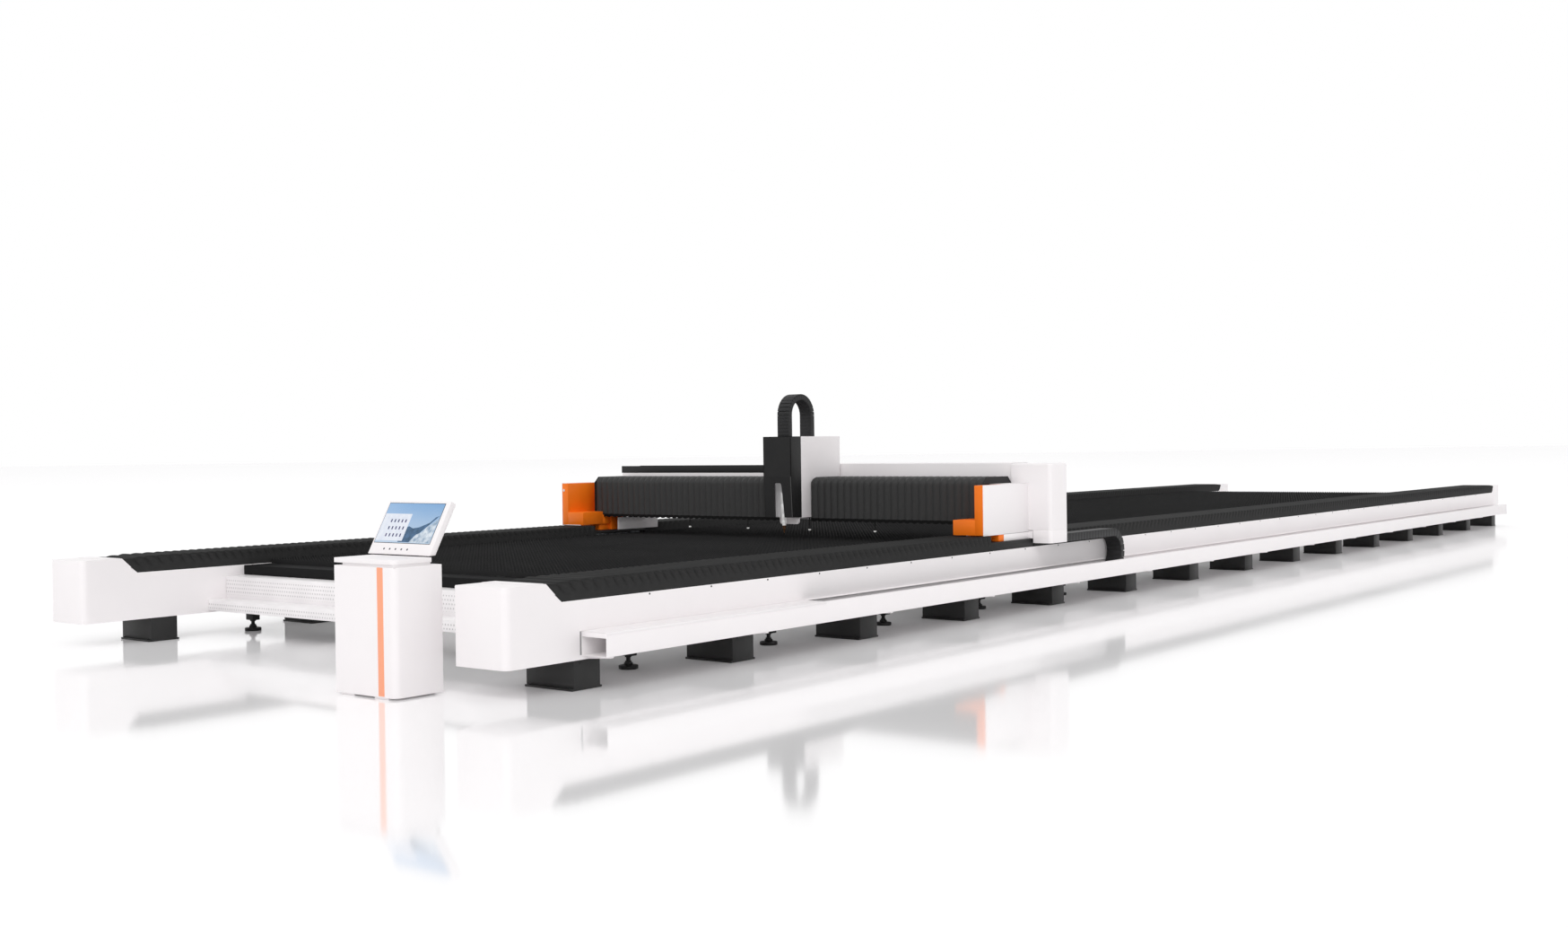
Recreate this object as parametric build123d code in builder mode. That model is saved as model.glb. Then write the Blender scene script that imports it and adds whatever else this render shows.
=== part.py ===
from build123d import *
import os
from math import cos, radians, sin, tan

os.makedirs("parts", exist_ok=True)

# Large laser cutting machine. X runs across the bed, Y to the back, Z up from the floor.
# Sizes below are from the middle between the rails, the front of the end covers and the floor.

# Rails and legs
rail_outer = 3063.0
rail_width = 520.0
rail_length = 26376.0
rail_bottom = 224.0
bed_top = 660.0
bed_wall = 20.0
rail_inner = rail_outer - rail_width
rail_centre = rail_outer - rail_width / 2
cover_top = 800.0
cover_flat = 391.5
cover_foot = 541.0
cover_wall = 60.0
cover_corner = 58.0
leg_pitch = 1800.0
leg_first = 806.0
leg_width = 500.0
leg_depth = 273.0
leg_inset = 7.0
leg_centre = rail_centre - leg_inset
leg_count = int((rail_length - leg_first - leg_depth) // leg_pitch) + 1
leg_plate = 16.0
leg_lip = 18.0
jack_count = leg_count - 1
jack_first = 1765.0
jack_inset = 17.0
jack_x = rail_inner + jack_inset
jack_block = 145.0
jack_block_bottom = 137.0
jack_pad = 80.0
jack_pad_height = 50.0
jack_stud = 18.0

# Guides under the rail bellows
slide_gap = 0.3
guide_offset = 165.0
guide_width = 45.0
guide_height = 38.0
guide_first = cover_foot + 19.0
rack_width = 30.0
rack_height = 30.0
pinion_radius = 32.0

# Gantry bases and rail bellows
gantry_front = 6490.0
base_setback = 110.0
base_length = 860.0
base_front = gantry_front + base_setback
base_back = base_front + base_length
base_overhang = 18.0
base_margin = 13.0
base_inner = rail_inner - base_overhang
base_outer = rail_outer - base_margin
base_bottom = 718.0
base_top = 745.0
bellows_top = 812.0
bellows_pleat = 14.0
bellows_wall = 30.0
bellows_shoulder = 30.0
front_fold = 151.0
rear_fold = 418.0

# Chain trough and chain beside the right rail
trough_width = 252.0
trough_bottom = 255.0
trough_outer_top = 393.0
trough_inner_top = 431.0
trough_wall = 4.0
trough_lip = 15.0
trough_front = 735.0
trough_margin = 461.0
trough_back = rail_length - trough_margin
chain_clearance = 22.0
chain_inner = rail_outer + chain_clearance
chain_width = 180.0
chain_band = 87.0
chain_top = 785.0
chain_run = 1123.0
chain_front = 1000.0

# Work table
slab_front = 1667.0
slab_top = 654.0
slab_bottom = 563.0
slab_back = 1950.0
step_front = 1267.0
step_top = 348.0
panel_front = 1464.0
slat_top = 708.0
slat_pitch = 180.0
slat_thickness = 5.0
member_width = 100.0
cross_count = 13
cross_depth = 100.0

# Console
console_left = 1625.0
console_right = 2300.0
console_front = -342.0
console_back = 94.0
console_top = 935.0
console_corner = 55.0
lid_top = 990.0
lid_neck = 10.0
stripe_left = 2116.0
stripe_width = 65.0
stripe_proud = 2.0
monitor_left = 1563.0
monitor_width = 700.0
monitor_height = 448.0
monitor_thickness = 53.0
monitor_lean = 29.0
monitor_front = 6.0
monitor_bottom = 994.0
screen_left = 1585.0
screen_width = 630.0
screen_low = 98.0
screen_height = 325.0
key_radius = 7.0
key_gap = 0.4
key_places = (1728.0, 1794.0, 1860.0, 1927.0, 1994.0)
key_low = 47.0
hinge_pin = 8.0
hinge_fit = 0.05

# Gantry, placed from its front face and from the outer faces of the rails
bracket_inset = 46.0
strip_width = 100.0
arm_length = 257.0
bracket_outer = rail_outer - bracket_inset
strip_inner = bracket_outer - strip_width
arm_inner = strip_inner - arm_length
bracket_bottom = 820.0
bracket_top = 1330.0
arm_top = 976.0
bracket_depth = 480.0
beam_depth = 430.0
beam_front = gantry_front + bracket_depth
beam_back = beam_front + beam_depth
beam_bottom = 940.0
beam_top = 1300.0
beam_end_gap = 20.0
end_block_depth = 210.0
end_block_inset = 17.0
drive_setback = 155.0
beam_inner_end = arm_inner - beam_end_gap
end_block_back = beam_front + end_block_depth
end_block_outer = bracket_outer - end_block_inset
drive_y = base_back - drive_setback
sheet = 3.0
folds_before = 120.0
folds_behind = 30.0
folds_front = beam_front - folds_before
folds_back = beam_back + folds_behind
folds_bottom = 945.0
folds_top = 1405.0
folds_chamfer = 70.0
folds_wall = 26.0
folds_inset = 217.0
folds_end = bracket_outer - folds_inset
rear_gap = 20.0
rear_depth = 350.0
rear_reach = 225.0
rear_front = folds_back + rear_gap
rear_back = rear_front + rear_depth
rear_outer = rail_outer + rear_reach
end_plate = 12.0
rear_right = folds_end + end_plate + sheet
chain_loop = rear_back + chain_run
rear_bottom = 900.0

# Carriage
carriage_left = 178.0
carriage_right = 565.0
leg_gap = 85.0
leg_thickness = 195.0
head_depth = 190.0
box_leg_back = beam_front - leg_gap
box_front = box_leg_back - leg_thickness
box_back = folds_back + 1
head_front = box_front - head_depth
box_bottom = 955.0
box_step = 1335.0
carriage_top = 1863.0
box_wall = 8.0
head_x = 385.0
rib_depth = 20.0
plate_thickness = 20.0
head_stand = 50.0
screw_stand = 35.0
plate_back = box_front - rib_depth
plate_front = plate_back - plate_thickness
head_y = plate_front - head_stand
nozzle_tip = 790.0
loop_z = 2100.0
loop_outer = 240.0
z_band = 65.0
z_chain_setback = 171.0
z_chain_centre = box_front + z_chain_setback
z_chain_left = 290.0
z_chain_right = 450.0
screw_x = 235.0
screw_y = plate_front - screw_stand
screw_radius = 8.0
motor_bottom = 1650.0
motor_length = 140.0

mid_x = -(trough_width) / 2
front_y = -(rail_length + console_front - stripe_proud) / 2


def level(z):
    """A horizontal plane at height z."""
    return Plane(origin=(mid_x, front_y, z))


def facing_front(y):
    """An upright plane seen from the front: its x is X, its y is Z."""
    return Plane(origin=(mid_x, front_y + y, 0), x_dir=(1, 0, 0), z_dir=(0, -1, 0))


def facing_right(x):
    """An upright plane seen from the right: its x is Y, its y is Z."""
    return Plane(origin=(mid_x + x, front_y, 0), x_dir=(0, 1, 0), z_dir=(1, 0, 0))


def prism(plane, points, depth, mode=Mode.ADD):
    """Draws the closed outline through points on the plane and extrudes it."""
    with BuildSketch(plane) as outline:
        Polygon(*points, align=None)
    extrude(outline.sketch, amount=depth, mode=mode)


def bar(x, y, z, mode=Mode.ADD):
    """A block between pairs of limits in X, Y and Z."""
    corners = ((x[0], y[0]), (x[1], y[0]), (x[1], y[1]), (x[0], y[1]))
    prism(level(z[0]), corners, z[1] - z[0], mode)


def both(a, b):
    """The limits a to b across the machine on the right, and mirrored on the left."""
    return ((a, b), (-b, -a))


def grid(z, centre, count, size, height):
    """Equal blocks on both sides: their centre, count and pitch along Y, and their size."""
    x, y, pitch = centre
    with BuildSketch(Plane(origin=(mid_x, front_y + y + pitch * (count - 1) / 2, z))) as outline:
        with GridLocations(2 * x, pitch, 2, count):
            Rectangle(*size)
    extrude(outline.sketch, amount=height)


def folds(stations):
    """A pleated skin through closed outlines of machine points, one per station."""
    faces = []
    for points in stations:
        shifted = [(mid_x + x, front_y + y, z) for x, y, z in points]
        faces.append(Face(Wire.make_polygon(shifted, close=True)))
    loft(sections=faces, ruled=True)


def mirrored_end():
    """The upright plane halfway along the rails."""
    return Plane(origin=(mid_x, front_y + rail_length / 2, 0), z_dir=(0, 1, 0))


def mirrored_side():
    """The upright plane midway between the rails."""
    return Plane(origin=(mid_x, front_y, 0), z_dir=(1, 0, 0))


# Rail beds: hollow welded boxes
def rail_bed(x):
    with BuildPart() as bed:
        bar(x, (cover_wall, rail_length - cover_wall), (rail_bottom, bed_top))
        inside_x = (x[0] + bed_wall, x[1] - bed_wall)
        inside_z = (rail_bottom + bed_wall, bed_top - bed_wall)
        bar(inside_x, (0, rail_length), inside_z, Mode.SUBTRACT)
    return bed.part


rail_bed_right = rail_bed((rail_inner, rail_outer))
rail_bed_right.label = "rail_bed_right"
export_step(rail_bed_right, "parts/rail_bed_right.step")
rail_bed_left = rail_bed((-rail_outer, -rail_inner))
rail_bed_left.label = "rail_bed_left"
export_step(rail_bed_left, "parts/rail_bed_left.step")

with BuildPart() as end_covers:
    cover_side = (
        (0, rail_bottom),
        (cover_wall, rail_bottom),
        (cover_wall, bed_top),
        (cover_foot, bed_top),
        (cover_flat, cover_top),
        (0, cover_top),
    )
    for left in (rail_inner, -rail_outer):
        with BuildPart() as cover:
            prism(facing_right(left), cover_side, rail_width)
            front_edges = cover.edges().filter_by(Axis.Z).group_by(Axis.Y)[0]
            fillet(front_edges.sort_by(Axis.X)[-1], radius=min(cover_corner, cover_wall - 1))
        add(cover.part)
    mirror(about=mirrored_end())
end_covers.part.label = "end_covers"
export_step(end_covers.part, "parts/end_covers.step")

with BuildPart() as rail_legs:
    plate = (leg_width, leg_depth + 2 * leg_lip)
    grid(0, (leg_centre, leg_first, leg_pitch), leg_count, plate, leg_plate)
    post = (leg_width, leg_depth)
    grid(leg_plate, (leg_centre, leg_first, leg_pitch), leg_count, post, rail_bottom - leg_plate)
rail_legs.part.label = "rail_legs"
export_step(rail_legs.part, "parts/rail_legs.step")

with BuildPart() as levelling_jacks:
    block_height = rail_bottom - jack_block_bottom
    row = (jack_x, jack_first, leg_pitch)
    grid(jack_block_bottom, row, jack_count, (jack_block, jack_block), block_height)
    middle = jack_first + leg_pitch * (jack_count - 1) / 2
    for radius, sides, low, high in (
        (jack_pad, 8, 0, jack_pad_height),
        (jack_stud, 6, jack_pad_height, jack_block_bottom),
    ):
        with BuildSketch(Plane(origin=(mid_x, front_y + middle, low))) as round_row:
            with GridLocations(2 * jack_x, leg_pitch, 2, jack_count):
                RegularPolygon(radius, sides)
        extrude(round_row.sketch, amount=high - low)
levelling_jacks.part.label = "levelling_jacks"
export_step(levelling_jacks.part, "parts/levelling_jacks.step")

guide_span = (guide_first, rail_length - guide_first)
with BuildPart() as y_guide_rails:
    for offset in (-guide_offset, guide_offset):
        centre = rail_centre + offset
        for x in both(centre - guide_width / 2, centre + guide_width / 2):
            bar(x, guide_span, (bed_top, bed_top + guide_height))
y_guide_rails.part.label = "y_guide_rails"
export_step(y_guide_rails.part, "parts/y_guide_rails.step")

with BuildPart() as y_racks:
    for x in both(rail_centre - rack_width / 2, rail_centre + rack_width / 2):
        bar(x, guide_span, (bed_top, bed_top + rack_height))
y_racks.part.label = "y_racks"
export_step(y_racks.part, "parts/y_racks.step")


# Rail bellows: the skirts stay flush with the rail sides, the pleats are cut into the top
def rail_section(y_of, drop):
    """The bellows outline on one rail; y_of gives the place along the rail for a height."""
    top = bellows_top - drop
    shoulder = top - bellows_shoulder * 1.2
    inner_top = bellows_top - bellows_wall
    out = (
        (rail_inner, bed_top),
        (rail_inner, shoulder),
        (rail_inner + bellows_shoulder, top),
        (rail_outer - bellows_shoulder, top),
        (rail_outer, shoulder),
        (rail_outer, bed_top),
        (rail_outer - bellows_wall, bed_top),
        (rail_outer - bellows_wall, inner_top),
        (rail_inner + bellows_wall, inner_top),
        (rail_inner + bellows_wall, bed_top),
    )
    return [(x, y_of(z), z) for x, z in out]


cover_slope = (cover_foot - cover_flat) / (cover_top - bed_top)


def rail_bellows(start, end, fold, from_back):
    """Pleats of a fold's length from the sloped cover at start to the gantry base at end."""
    pleats = round(abs(end - start) / fold)
    step = (end - start) / (2 * pleats)
    sign = -1 if from_back else 1
    stations = [rail_section(lambda z: start - sign * cover_slope * (z - bed_top), 0)]
    for n in range(1, 2 * pleats + 1):
        place = start + n * step
        stations.append(rail_section(lambda z: place, bellows_pleat if n % 2 else 0))
    folds(stations)


with BuildPart() as rail_bellows_front:
    rail_bellows(cover_foot, base_front, front_fold, False)
    mirror(about=mirrored_side())
rail_bellows_front.part.label = "rail_bellows_front"
export_step(rail_bellows_front.part, "parts/rail_bellows_front.step")

with BuildPart() as rail_bellows_rear:
    rail_bellows(rail_length - cover_foot, base_back, rear_fold, True)
    mirror(about=mirrored_side())
rail_bellows_rear.part.label = "rail_bellows_rear"
export_step(rail_bellows_rear.part, "parts/rail_bellows_rear.step")

with BuildPart() as bellows_flanges:
    flange_x = (rail_inner + 8, rail_outer - 8)
    bar(flange_x, (cover_flat - 146, cover_flat - 16), (cover_top, cover_top + 3))
    mirror(about=mirrored_side())
    mirror(about=mirrored_end())
bellows_flanges.part.label = "bellows_flanges"
export_step(bellows_flanges.part, "parts/bellows_flanges.step")

# Trough and chain
trough_outer = rail_outer + trough_width
with BuildPart() as chain_trough:
    section = (
        (rail_outer, trough_bottom),
        (trough_outer, trough_bottom),
        (trough_outer, trough_outer_top),
        (trough_outer - trough_lip, trough_outer_top),
        (trough_outer - trough_lip, trough_outer_top - trough_wall),
        (trough_outer - trough_wall, trough_outer_top - trough_wall),
        (trough_outer - trough_wall, trough_bottom + trough_wall),
        (rail_outer + trough_wall, trough_bottom + trough_wall),
        (rail_outer + trough_wall, trough_inner_top),
        (rail_outer, trough_inner_top),
    )
    prism(facing_front(trough_front), section, -(trough_back - trough_front))
chain_trough.part.label = "chain_trough"
export_step(chain_trough.part, "parts/chain_trough.step")

with BuildPart() as trough_brackets:
    reach = trough_outer - 15
    gusset = (
        (rail_outer, rail_bottom + 2),
        (reach, trough_bottom - 12),
        (reach, trough_bottom),
        (rail_outer, trough_bottom),
    )
    for n in range(leg_count):
        place = leg_first + n * leg_pitch - 20
        prism(facing_front(place), gusset, -40)
trough_brackets.part.label = "trough_brackets"
export_step(trough_brackets.part, "parts/trough_brackets.step")

chain_x = (chain_inner, chain_inner + chain_width)
chain_bottom = trough_bottom + trough_wall + slide_gap
chain_radius = (chain_top - chain_bottom) / 2
chain_centre = chain_bottom + chain_radius
with BuildPart() as y_chain_lower:
    bar(chain_x, (chain_front, chain_loop), (chain_bottom, chain_bottom + chain_band))
y_chain_lower.part.label = "y_chain_lower"
export_step(y_chain_lower.part, "parts/y_chain_lower.step")

with BuildPart() as y_chain_upper:
    bar(chain_x, (rear_back, chain_loop), (chain_top - chain_band, chain_top))
y_chain_upper.part.label = "y_chain_upper"
export_step(y_chain_upper.part, "parts/y_chain_upper.step")

with BuildPart() as y_chain_bend:
    with BuildSketch(facing_right(chain_inner)) as ring:
        with Locations((chain_loop, chain_centre)):
            Circle(chain_radius)
            Circle(chain_radius - chain_band, mode=Mode.SUBTRACT)
        with Locations((chain_loop - chain_radius, chain_centre)):
            Rectangle(2 * chain_radius, 3 * chain_radius, mode=Mode.SUBTRACT)
    extrude(ring.sketch, amount=chain_width)
y_chain_bend.part.label = "y_chain_bend"
export_step(y_chain_bend.part, "parts/y_chain_bend.step")

# Work table
table_x = (-rail_inner, rail_inner)
with BuildPart() as table_end_beams:
    bar(table_x, (slab_front, slab_back), (slab_bottom, slab_top))
    mirror(about=mirrored_end())
table_end_beams.part.label = "table_end_beams"
export_step(table_end_beams.part, "parts/table_end_beams.step")

with BuildPart() as table_end_panels:
    stairs = (
        (step_front, rail_bottom),
        (slab_front, rail_bottom),
        (slab_front, slab_bottom),
        (panel_front, slab_bottom),
        (panel_front, step_top),
        (step_front, step_top),
    )
    prism(facing_right(-rail_inner), stairs, 2 * rail_inner)
    mirror(about=mirrored_end())
table_end_panels.part.label = "table_end_panels"
export_step(table_end_panels.part, "parts/table_end_panels.step")

table_span = (slab_back, rail_length - slab_back)
with BuildPart() as table_members:
    for centre in (rail_inner - member_width / 2, rail_inner / 3):
        for x in both(centre - member_width / 2, centre + member_width / 2):
            bar(x, table_span, (slab_bottom, slab_top))
    cross_pitch = (table_span[1] - table_span[0]) / cross_count
    for n in range(cross_count):
        place = table_span[0] + (n + 0.5) * cross_pitch
        cross_y = (place - member_width / 2, place + member_width / 2)
        bar(table_x, cross_y, (slab_bottom - cross_depth, slab_bottom))
table_members.part.label = "table_members"
export_step(table_members.part, "parts/table_members.step")

with BuildPart() as bed_slats:
    slat_count = int((table_span[1] - table_span[0]) / slat_pitch)
    with BuildSketch(Plane(origin=(mid_x, front_y + rail_length / 2, slab_top))) as slats:
        with GridLocations(1, slat_pitch, 1, slat_count):
            Rectangle(2 * rail_inner, slat_thickness)
    extrude(slats.sketch, amount=slat_top - slab_top)
bed_slats.part.label = "bed_slats"
export_step(bed_slats.part, "parts/bed_slats.step")


# Console
def console_block(low, high, inset):
    x = (console_left + inset, console_right - inset)
    y = (console_front + inset, console_back - inset)
    bar(x, y, (low, high))


with BuildPart() as console_cabinet:
    console_block(0, console_top, 0)
    upright = console_cabinet.edges().filter_by(Axis.Z).group_by(Axis.X)[-1]
    fillet(upright.sort_by(Axis.Y)[0], radius=console_corner)
    outer_x = (console_left - 1, console_right + 1)
    bar(outer_x, (console_front - 1, console_front + 30), (0, 20), Mode.SUBTRACT)
    bar(outer_x, (console_back - 30, console_back + 1), (0, 20), Mode.SUBTRACT)
console_cabinet.part.label = "console_cabinet"
export_step(console_cabinet.part, "parts/console_cabinet.step")

with BuildPart() as console_lid:
    console_block(console_top + lid_neck, lid_top, 0)
    upright = console_lid.edges().filter_by(Axis.Z).group_by(Axis.X)[-1]
    fillet(upright.sort_by(Axis.Y)[0], radius=console_corner)
    console_block(console_top, console_top + lid_neck, 25)
console_lid.part.label = "console_lid"
export_step(console_lid.part, "parts/console_lid.step")

with BuildPart() as console_stripe:
    stripe_x = (stripe_left, stripe_left + stripe_width)
    bar(stripe_x, (console_front - stripe_proud, console_front), (20, console_top))
console_stripe.part.label = "console_stripe"
export_step(console_stripe.part, "parts/console_stripe.step")

# Monitor: leans back, its bottom is cut level above the lid
lean = radians(monitor_lean)
case_low = monitor_bottom + 1
back_shift = monitor_thickness / cos(lean)
hinge_z = lid_top + 30
hinge_y = monitor_front + (hinge_z - monitor_bottom) * tan(lean) + back_shift + 4
knuckle_radius = hinge_pin + 9
ear_width = 20.0
ear_left = monitor_left + 75
ear_right = monitor_left + monitor_width - 35


def on_monitor(x, along, depth=0.0):
    """The plane of the monitor's front at a place along its slope, depth behind it."""
    y = monitor_front + along * sin(lean) + depth * cos(lean)
    z = monitor_bottom + along * cos(lean) - depth * sin(lean)
    origin = (mid_x + x, front_y + y, z)
    return Plane(origin=origin, x_dir=(1, 0, 0), z_dir=(0, -cos(lean), sin(lean)))


with BuildPart() as monitor_hinge:
    bar((ear_left, ear_right), (hinge_y - 15, hinge_y + 12), (lid_top, lid_top + 8))
    for low in (ear_left, ear_right - ear_width):
        bar((low, low + ear_width), (hinge_y - 12, hinge_y + 12), (lid_top + 8, hinge_z + 12))
    with BuildSketch(facing_right(ear_left)) as pin:
        with Locations((hinge_y, hinge_z)):
            Circle(hinge_pin)
    extrude(pin.sketch, amount=ear_right - ear_left)
monitor_hinge.part.label = "monitor_hinge"
export_step(monitor_hinge.part, "parts/monitor_hinge.step")

with BuildPart() as monitor_case:
    with BuildSketch(on_monitor(monitor_left, 0)) as front_view:
        Rectangle(monitor_width, monitor_height, align=(Align.MIN, Align.MIN))
    extrude(front_view.sketch, amount=-monitor_thickness)
    with BuildSketch(on_monitor(screen_left, screen_low)) as recess:
        Rectangle(screen_width, screen_height, align=(Align.MIN, Align.MIN))
    extrude(recess.sketch, amount=-4, mode=Mode.SUBTRACT)
    knuckle_left = ear_left + ear_width + 1
    knuckle_right = ear_right - ear_width - 1
    with BuildSketch(facing_right(knuckle_left)) as knuckle:
        with Locations((hinge_y, hinge_z)):
            Circle(knuckle_radius)
    extrude(knuckle.sketch, amount=knuckle_right - knuckle_left)
    with BuildSketch(facing_right(knuckle_left - 1)) as bore:
        with Locations((hinge_y, hinge_z)):
            Circle(hinge_pin + hinge_fit)
    extrude(bore.sketch, amount=knuckle_right - knuckle_left + 2, mode=Mode.SUBTRACT)
    for low, high in ((ear_left, knuckle_left), (knuckle_right, ear_right)):
        ear_y = (hinge_y - 16, hinge_y + 60)
        bar((low - 1, high + 1), ear_y, (lid_top, hinge_z + 20), Mode.SUBTRACT)
    whole_x = (monitor_left - 1, monitor_left + monitor_width + 1)
    bar(whole_x, (-100, 400), (lid_top - 60, case_low), Mode.SUBTRACT)
    for x in key_places:
        with BuildSketch(on_monitor(x, key_low)) as key_bore:
            RegularPolygon(key_radius + 2 * key_gap, 16)
        extrude(key_bore.sketch, amount=-7, mode=Mode.SUBTRACT)
monitor_case.part.label = "monitor_case"
export_step(monitor_case.part, "parts/monitor_case.step")

with BuildPart() as monitor_screen:
    with BuildSketch(on_monitor(screen_left, screen_low, 1)) as screen:
        Rectangle(screen_width, screen_height, align=(Align.MIN, Align.MIN))
    extrude(screen.sketch, amount=-3)
monitor_screen.part.label = "monitor_screen"
export_step(monitor_screen.part, "parts/monitor_screen.step")

for number, x in enumerate(key_places):
    with BuildPart() as push_key:
        with BuildSketch(on_monitor(x, key_low, -3)) as key:
            RegularPolygon(key_radius, 16)
        extrude(key.sketch, amount=-7)
    push_key.part.label = f"push_key_{number + 1}"
    export_step(push_key.part, f"parts/push_key_{number + 1}.step")

# Gantry beam with an upright block at each end, standing on the bases
with BuildPart() as gantry_beam:
    bar((-beam_inner_end, beam_inner_end), (beam_front, beam_back), (beam_bottom, beam_top))
    for x in both(beam_inner_end, end_block_outer):
        bar(x, (beam_front, end_block_back), (base_top, beam_top))
gantry_beam.part.label = "gantry_beam"
export_step(gantry_beam.part, "parts/gantry_beam.step")

light_step = 900.0
with BuildPart() as beam_lights:
    for n in range(4):
        x = (n - 1.5) * light_step
        with BuildSketch(Plane(origin=(mid_x + x, front_y + beam_front + 15, 812))) as stalk:
            RegularPolygon(7, 8)
        extrude(stalk.sketch, amount=beam_bottom - 812)
        with BuildSketch(Plane(origin=(mid_x + x, front_y + beam_front + 15, 797))) as lamp:
            RegularPolygon(16, 12)
        extrude(lamp.sketch, amount=15)
beam_lights.part.label = "beam_lights"
export_step(beam_lights.part, "parts/beam_lights.step")

foot_setback = 310.0
foot_front = gantry_front + foot_setback
arm_cut = folds_front - 10
with BuildPart() as gantry_end_brackets:
    height = (bracket_bottom, bracket_top)
    bar((strip_inner, bracket_outer), (gantry_front, beam_front), height)
    bar((arm_inner, strip_inner), (gantry_front, arm_cut), (bracket_bottom, arm_top))
    bar((arm_inner, strip_inner), (arm_cut, beam_front), (bracket_bottom, folds_bottom - 10))
    bar((arm_inner + 20, bracket_outer), (foot_front, beam_front), (base_top, bracket_bottom))
    pocket = (gantry_front + 30, gantry_front + 140)
    bar((arm_inner, arm_inner + 30), pocket, (870, 950), Mode.SUBTRACT)
    mirror(about=mirrored_side())
gantry_end_brackets.part.label = "gantry_end_brackets"
export_step(gantry_end_brackets.part, "parts/gantry_end_brackets.step")

# Each base has a window for the drive's pinion
pinion_z = bed_top + rack_height + slide_gap + pinion_radius
gear_left = rail_centre + rack_width / 2 + 4
gear_width = 100.0
gear_half = 40.0
gear_height = 115.0
motor_height = 220.0
with BuildPart() as gantry_bases:
    bar((base_inner, base_outer), (base_front, base_back), (base_bottom, base_top))
    window_x = (rail_centre - rack_width / 2 - 6, gear_left + gear_width + 6)
    window_y = (drive_y - gear_half - 10, drive_y + gear_half + 10)
    bar(window_x, window_y, (base_bottom, base_top), Mode.SUBTRACT)
    mirror(about=mirrored_side())
gantry_bases.part.label = "gantry_bases"
export_step(gantry_bases.part, "parts/gantry_bases.step")

with BuildPart() as y_slide_blocks:
    for offset in (-guide_offset, guide_offset):
        centre = rail_centre + offset
        for place in (base_front + 120, base_back - 120):
            outer = (centre - 45, centre + 45)
            bar(outer, (place - 80, place + 80), (bed_top + 10, base_bottom))
            groove = (centre - guide_width / 2 - slide_gap, centre + guide_width / 2 + slide_gap)
            groove_z = (bed_top, bed_top + guide_height + slide_gap)
            bar(groove, (place - 81, place + 81), groove_z, Mode.SUBTRACT)
    mirror(about=mirrored_side())
y_slide_blocks.part.label = "y_slide_blocks"
export_step(y_slide_blocks.part, "parts/y_slide_blocks.step")

with BuildPart() as y_drives:
    gear_x = (gear_left, gear_left + gear_width)
    gear_y = (drive_y - gear_half, drive_y + gear_half)
    gear_top = base_top + gear_height
    bar(gear_x, gear_y, (base_bottom - 18, gear_top))
    flange_reach = (gear_left, gear_left + gear_width + 25)
    flange_y = (drive_y - gear_half - 30, drive_y + gear_half + 30)
    bar(flange_reach, flange_y, (base_top, base_top + 10))
    motor_x = (gear_left + 5, gear_left + gear_width - 5)
    bar(motor_x, (drive_y - 45, drive_y + 45), (gear_top, gear_top + motor_height))
    mirror(about=mirrored_side())
y_drives.part.label = "y_drives"
export_step(y_drives.part, "parts/y_drives.step")

with BuildPart() as y_pinions:
    start = rail_centre - rack_width / 2
    for radius, low, high in (
        (pinion_radius, start, start + rack_width),
        (10.0, start + rack_width, gear_left - slide_gap),
    ):
        with BuildSketch(facing_right(low)) as disc:
            with Locations((drive_y, pinion_z)):
                RegularPolygon(radius, 24)
        extrude(disc.sketch, amount=high - low)
    mirror(about=mirrored_side())
y_pinions.part.label = "y_pinions"
export_step(y_pinions.part, "parts/y_pinions.step")

# White sheet covers at the gantry's ends: outer side, top, back, and the plate inside the rail
with BuildPart() as side_covers:
    side_x = (bracket_outer, bracket_outer + sheet)
    cover_back = rear_front - 30
    bar(side_x, (gantry_front, cover_back), (bracket_bottom - 5, bracket_top + sheet))
    bar(side_x, (foot_front + 100, cover_back), (base_top, bracket_bottom - 5))
    inner_edge = folds_end + end_plate
    bar((inner_edge, bracket_outer), (beam_front, cover_back), (bracket_top, bracket_top + sheet))
    back_y = (cover_back - sheet, cover_back)
    bar((inner_edge, bracket_outer), back_y, (bracket_bottom - 5, bracket_top))
    bar((base_inner, base_inner + 15), (beam_front, rear_back - 100), (base_top, rear_bottom - 3))
    mirror(about=mirrored_side())
side_covers.part.label = "side_covers"
export_step(side_covers.part, "parts/side_covers.step")

# Tall box at the right end only; it reaches down outside the rail, where the chain starts
with BuildPart() as rear_box:
    rear_side = (
        (rear_right, 825),
        (rail_outer + 7, 825),
        (rail_outer + 7, chain_top - chain_band),
        (rear_outer, chain_top - chain_band),
        (rear_outer, 1540),
        (rear_right, 1540),
    )
    prism(facing_front(cover_back), rear_side, -(rear_back - cover_back))
    outer_edges = rear_box.edges().filter_by(Axis.Z).group_by(Axis.X)[-1]
    fillet(outer_edges, radius=45)
rear_box.part.label = "rear_box"
export_step(rear_box.part, "parts/rear_box.step")

rear_left = -(folds_end + 100)
rear_split = carriage_left
with BuildPart() as rear_cover:
    bar((rear_left, rear_split), (rear_front, rear_back), (rear_bottom, 1443))
    bar((rear_split, rear_right), (rear_front, rear_back), (rear_bottom, 1550))
    for n in range(4):
        x = -2400 + n * 1600
        bar((x - 50, x + 50), (beam_back, rear_front), (rear_bottom, folds_bottom - 3))
rear_cover.part.label = "rear_cover"
export_step(rear_cover.part, "parts/rear_cover.step")

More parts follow.
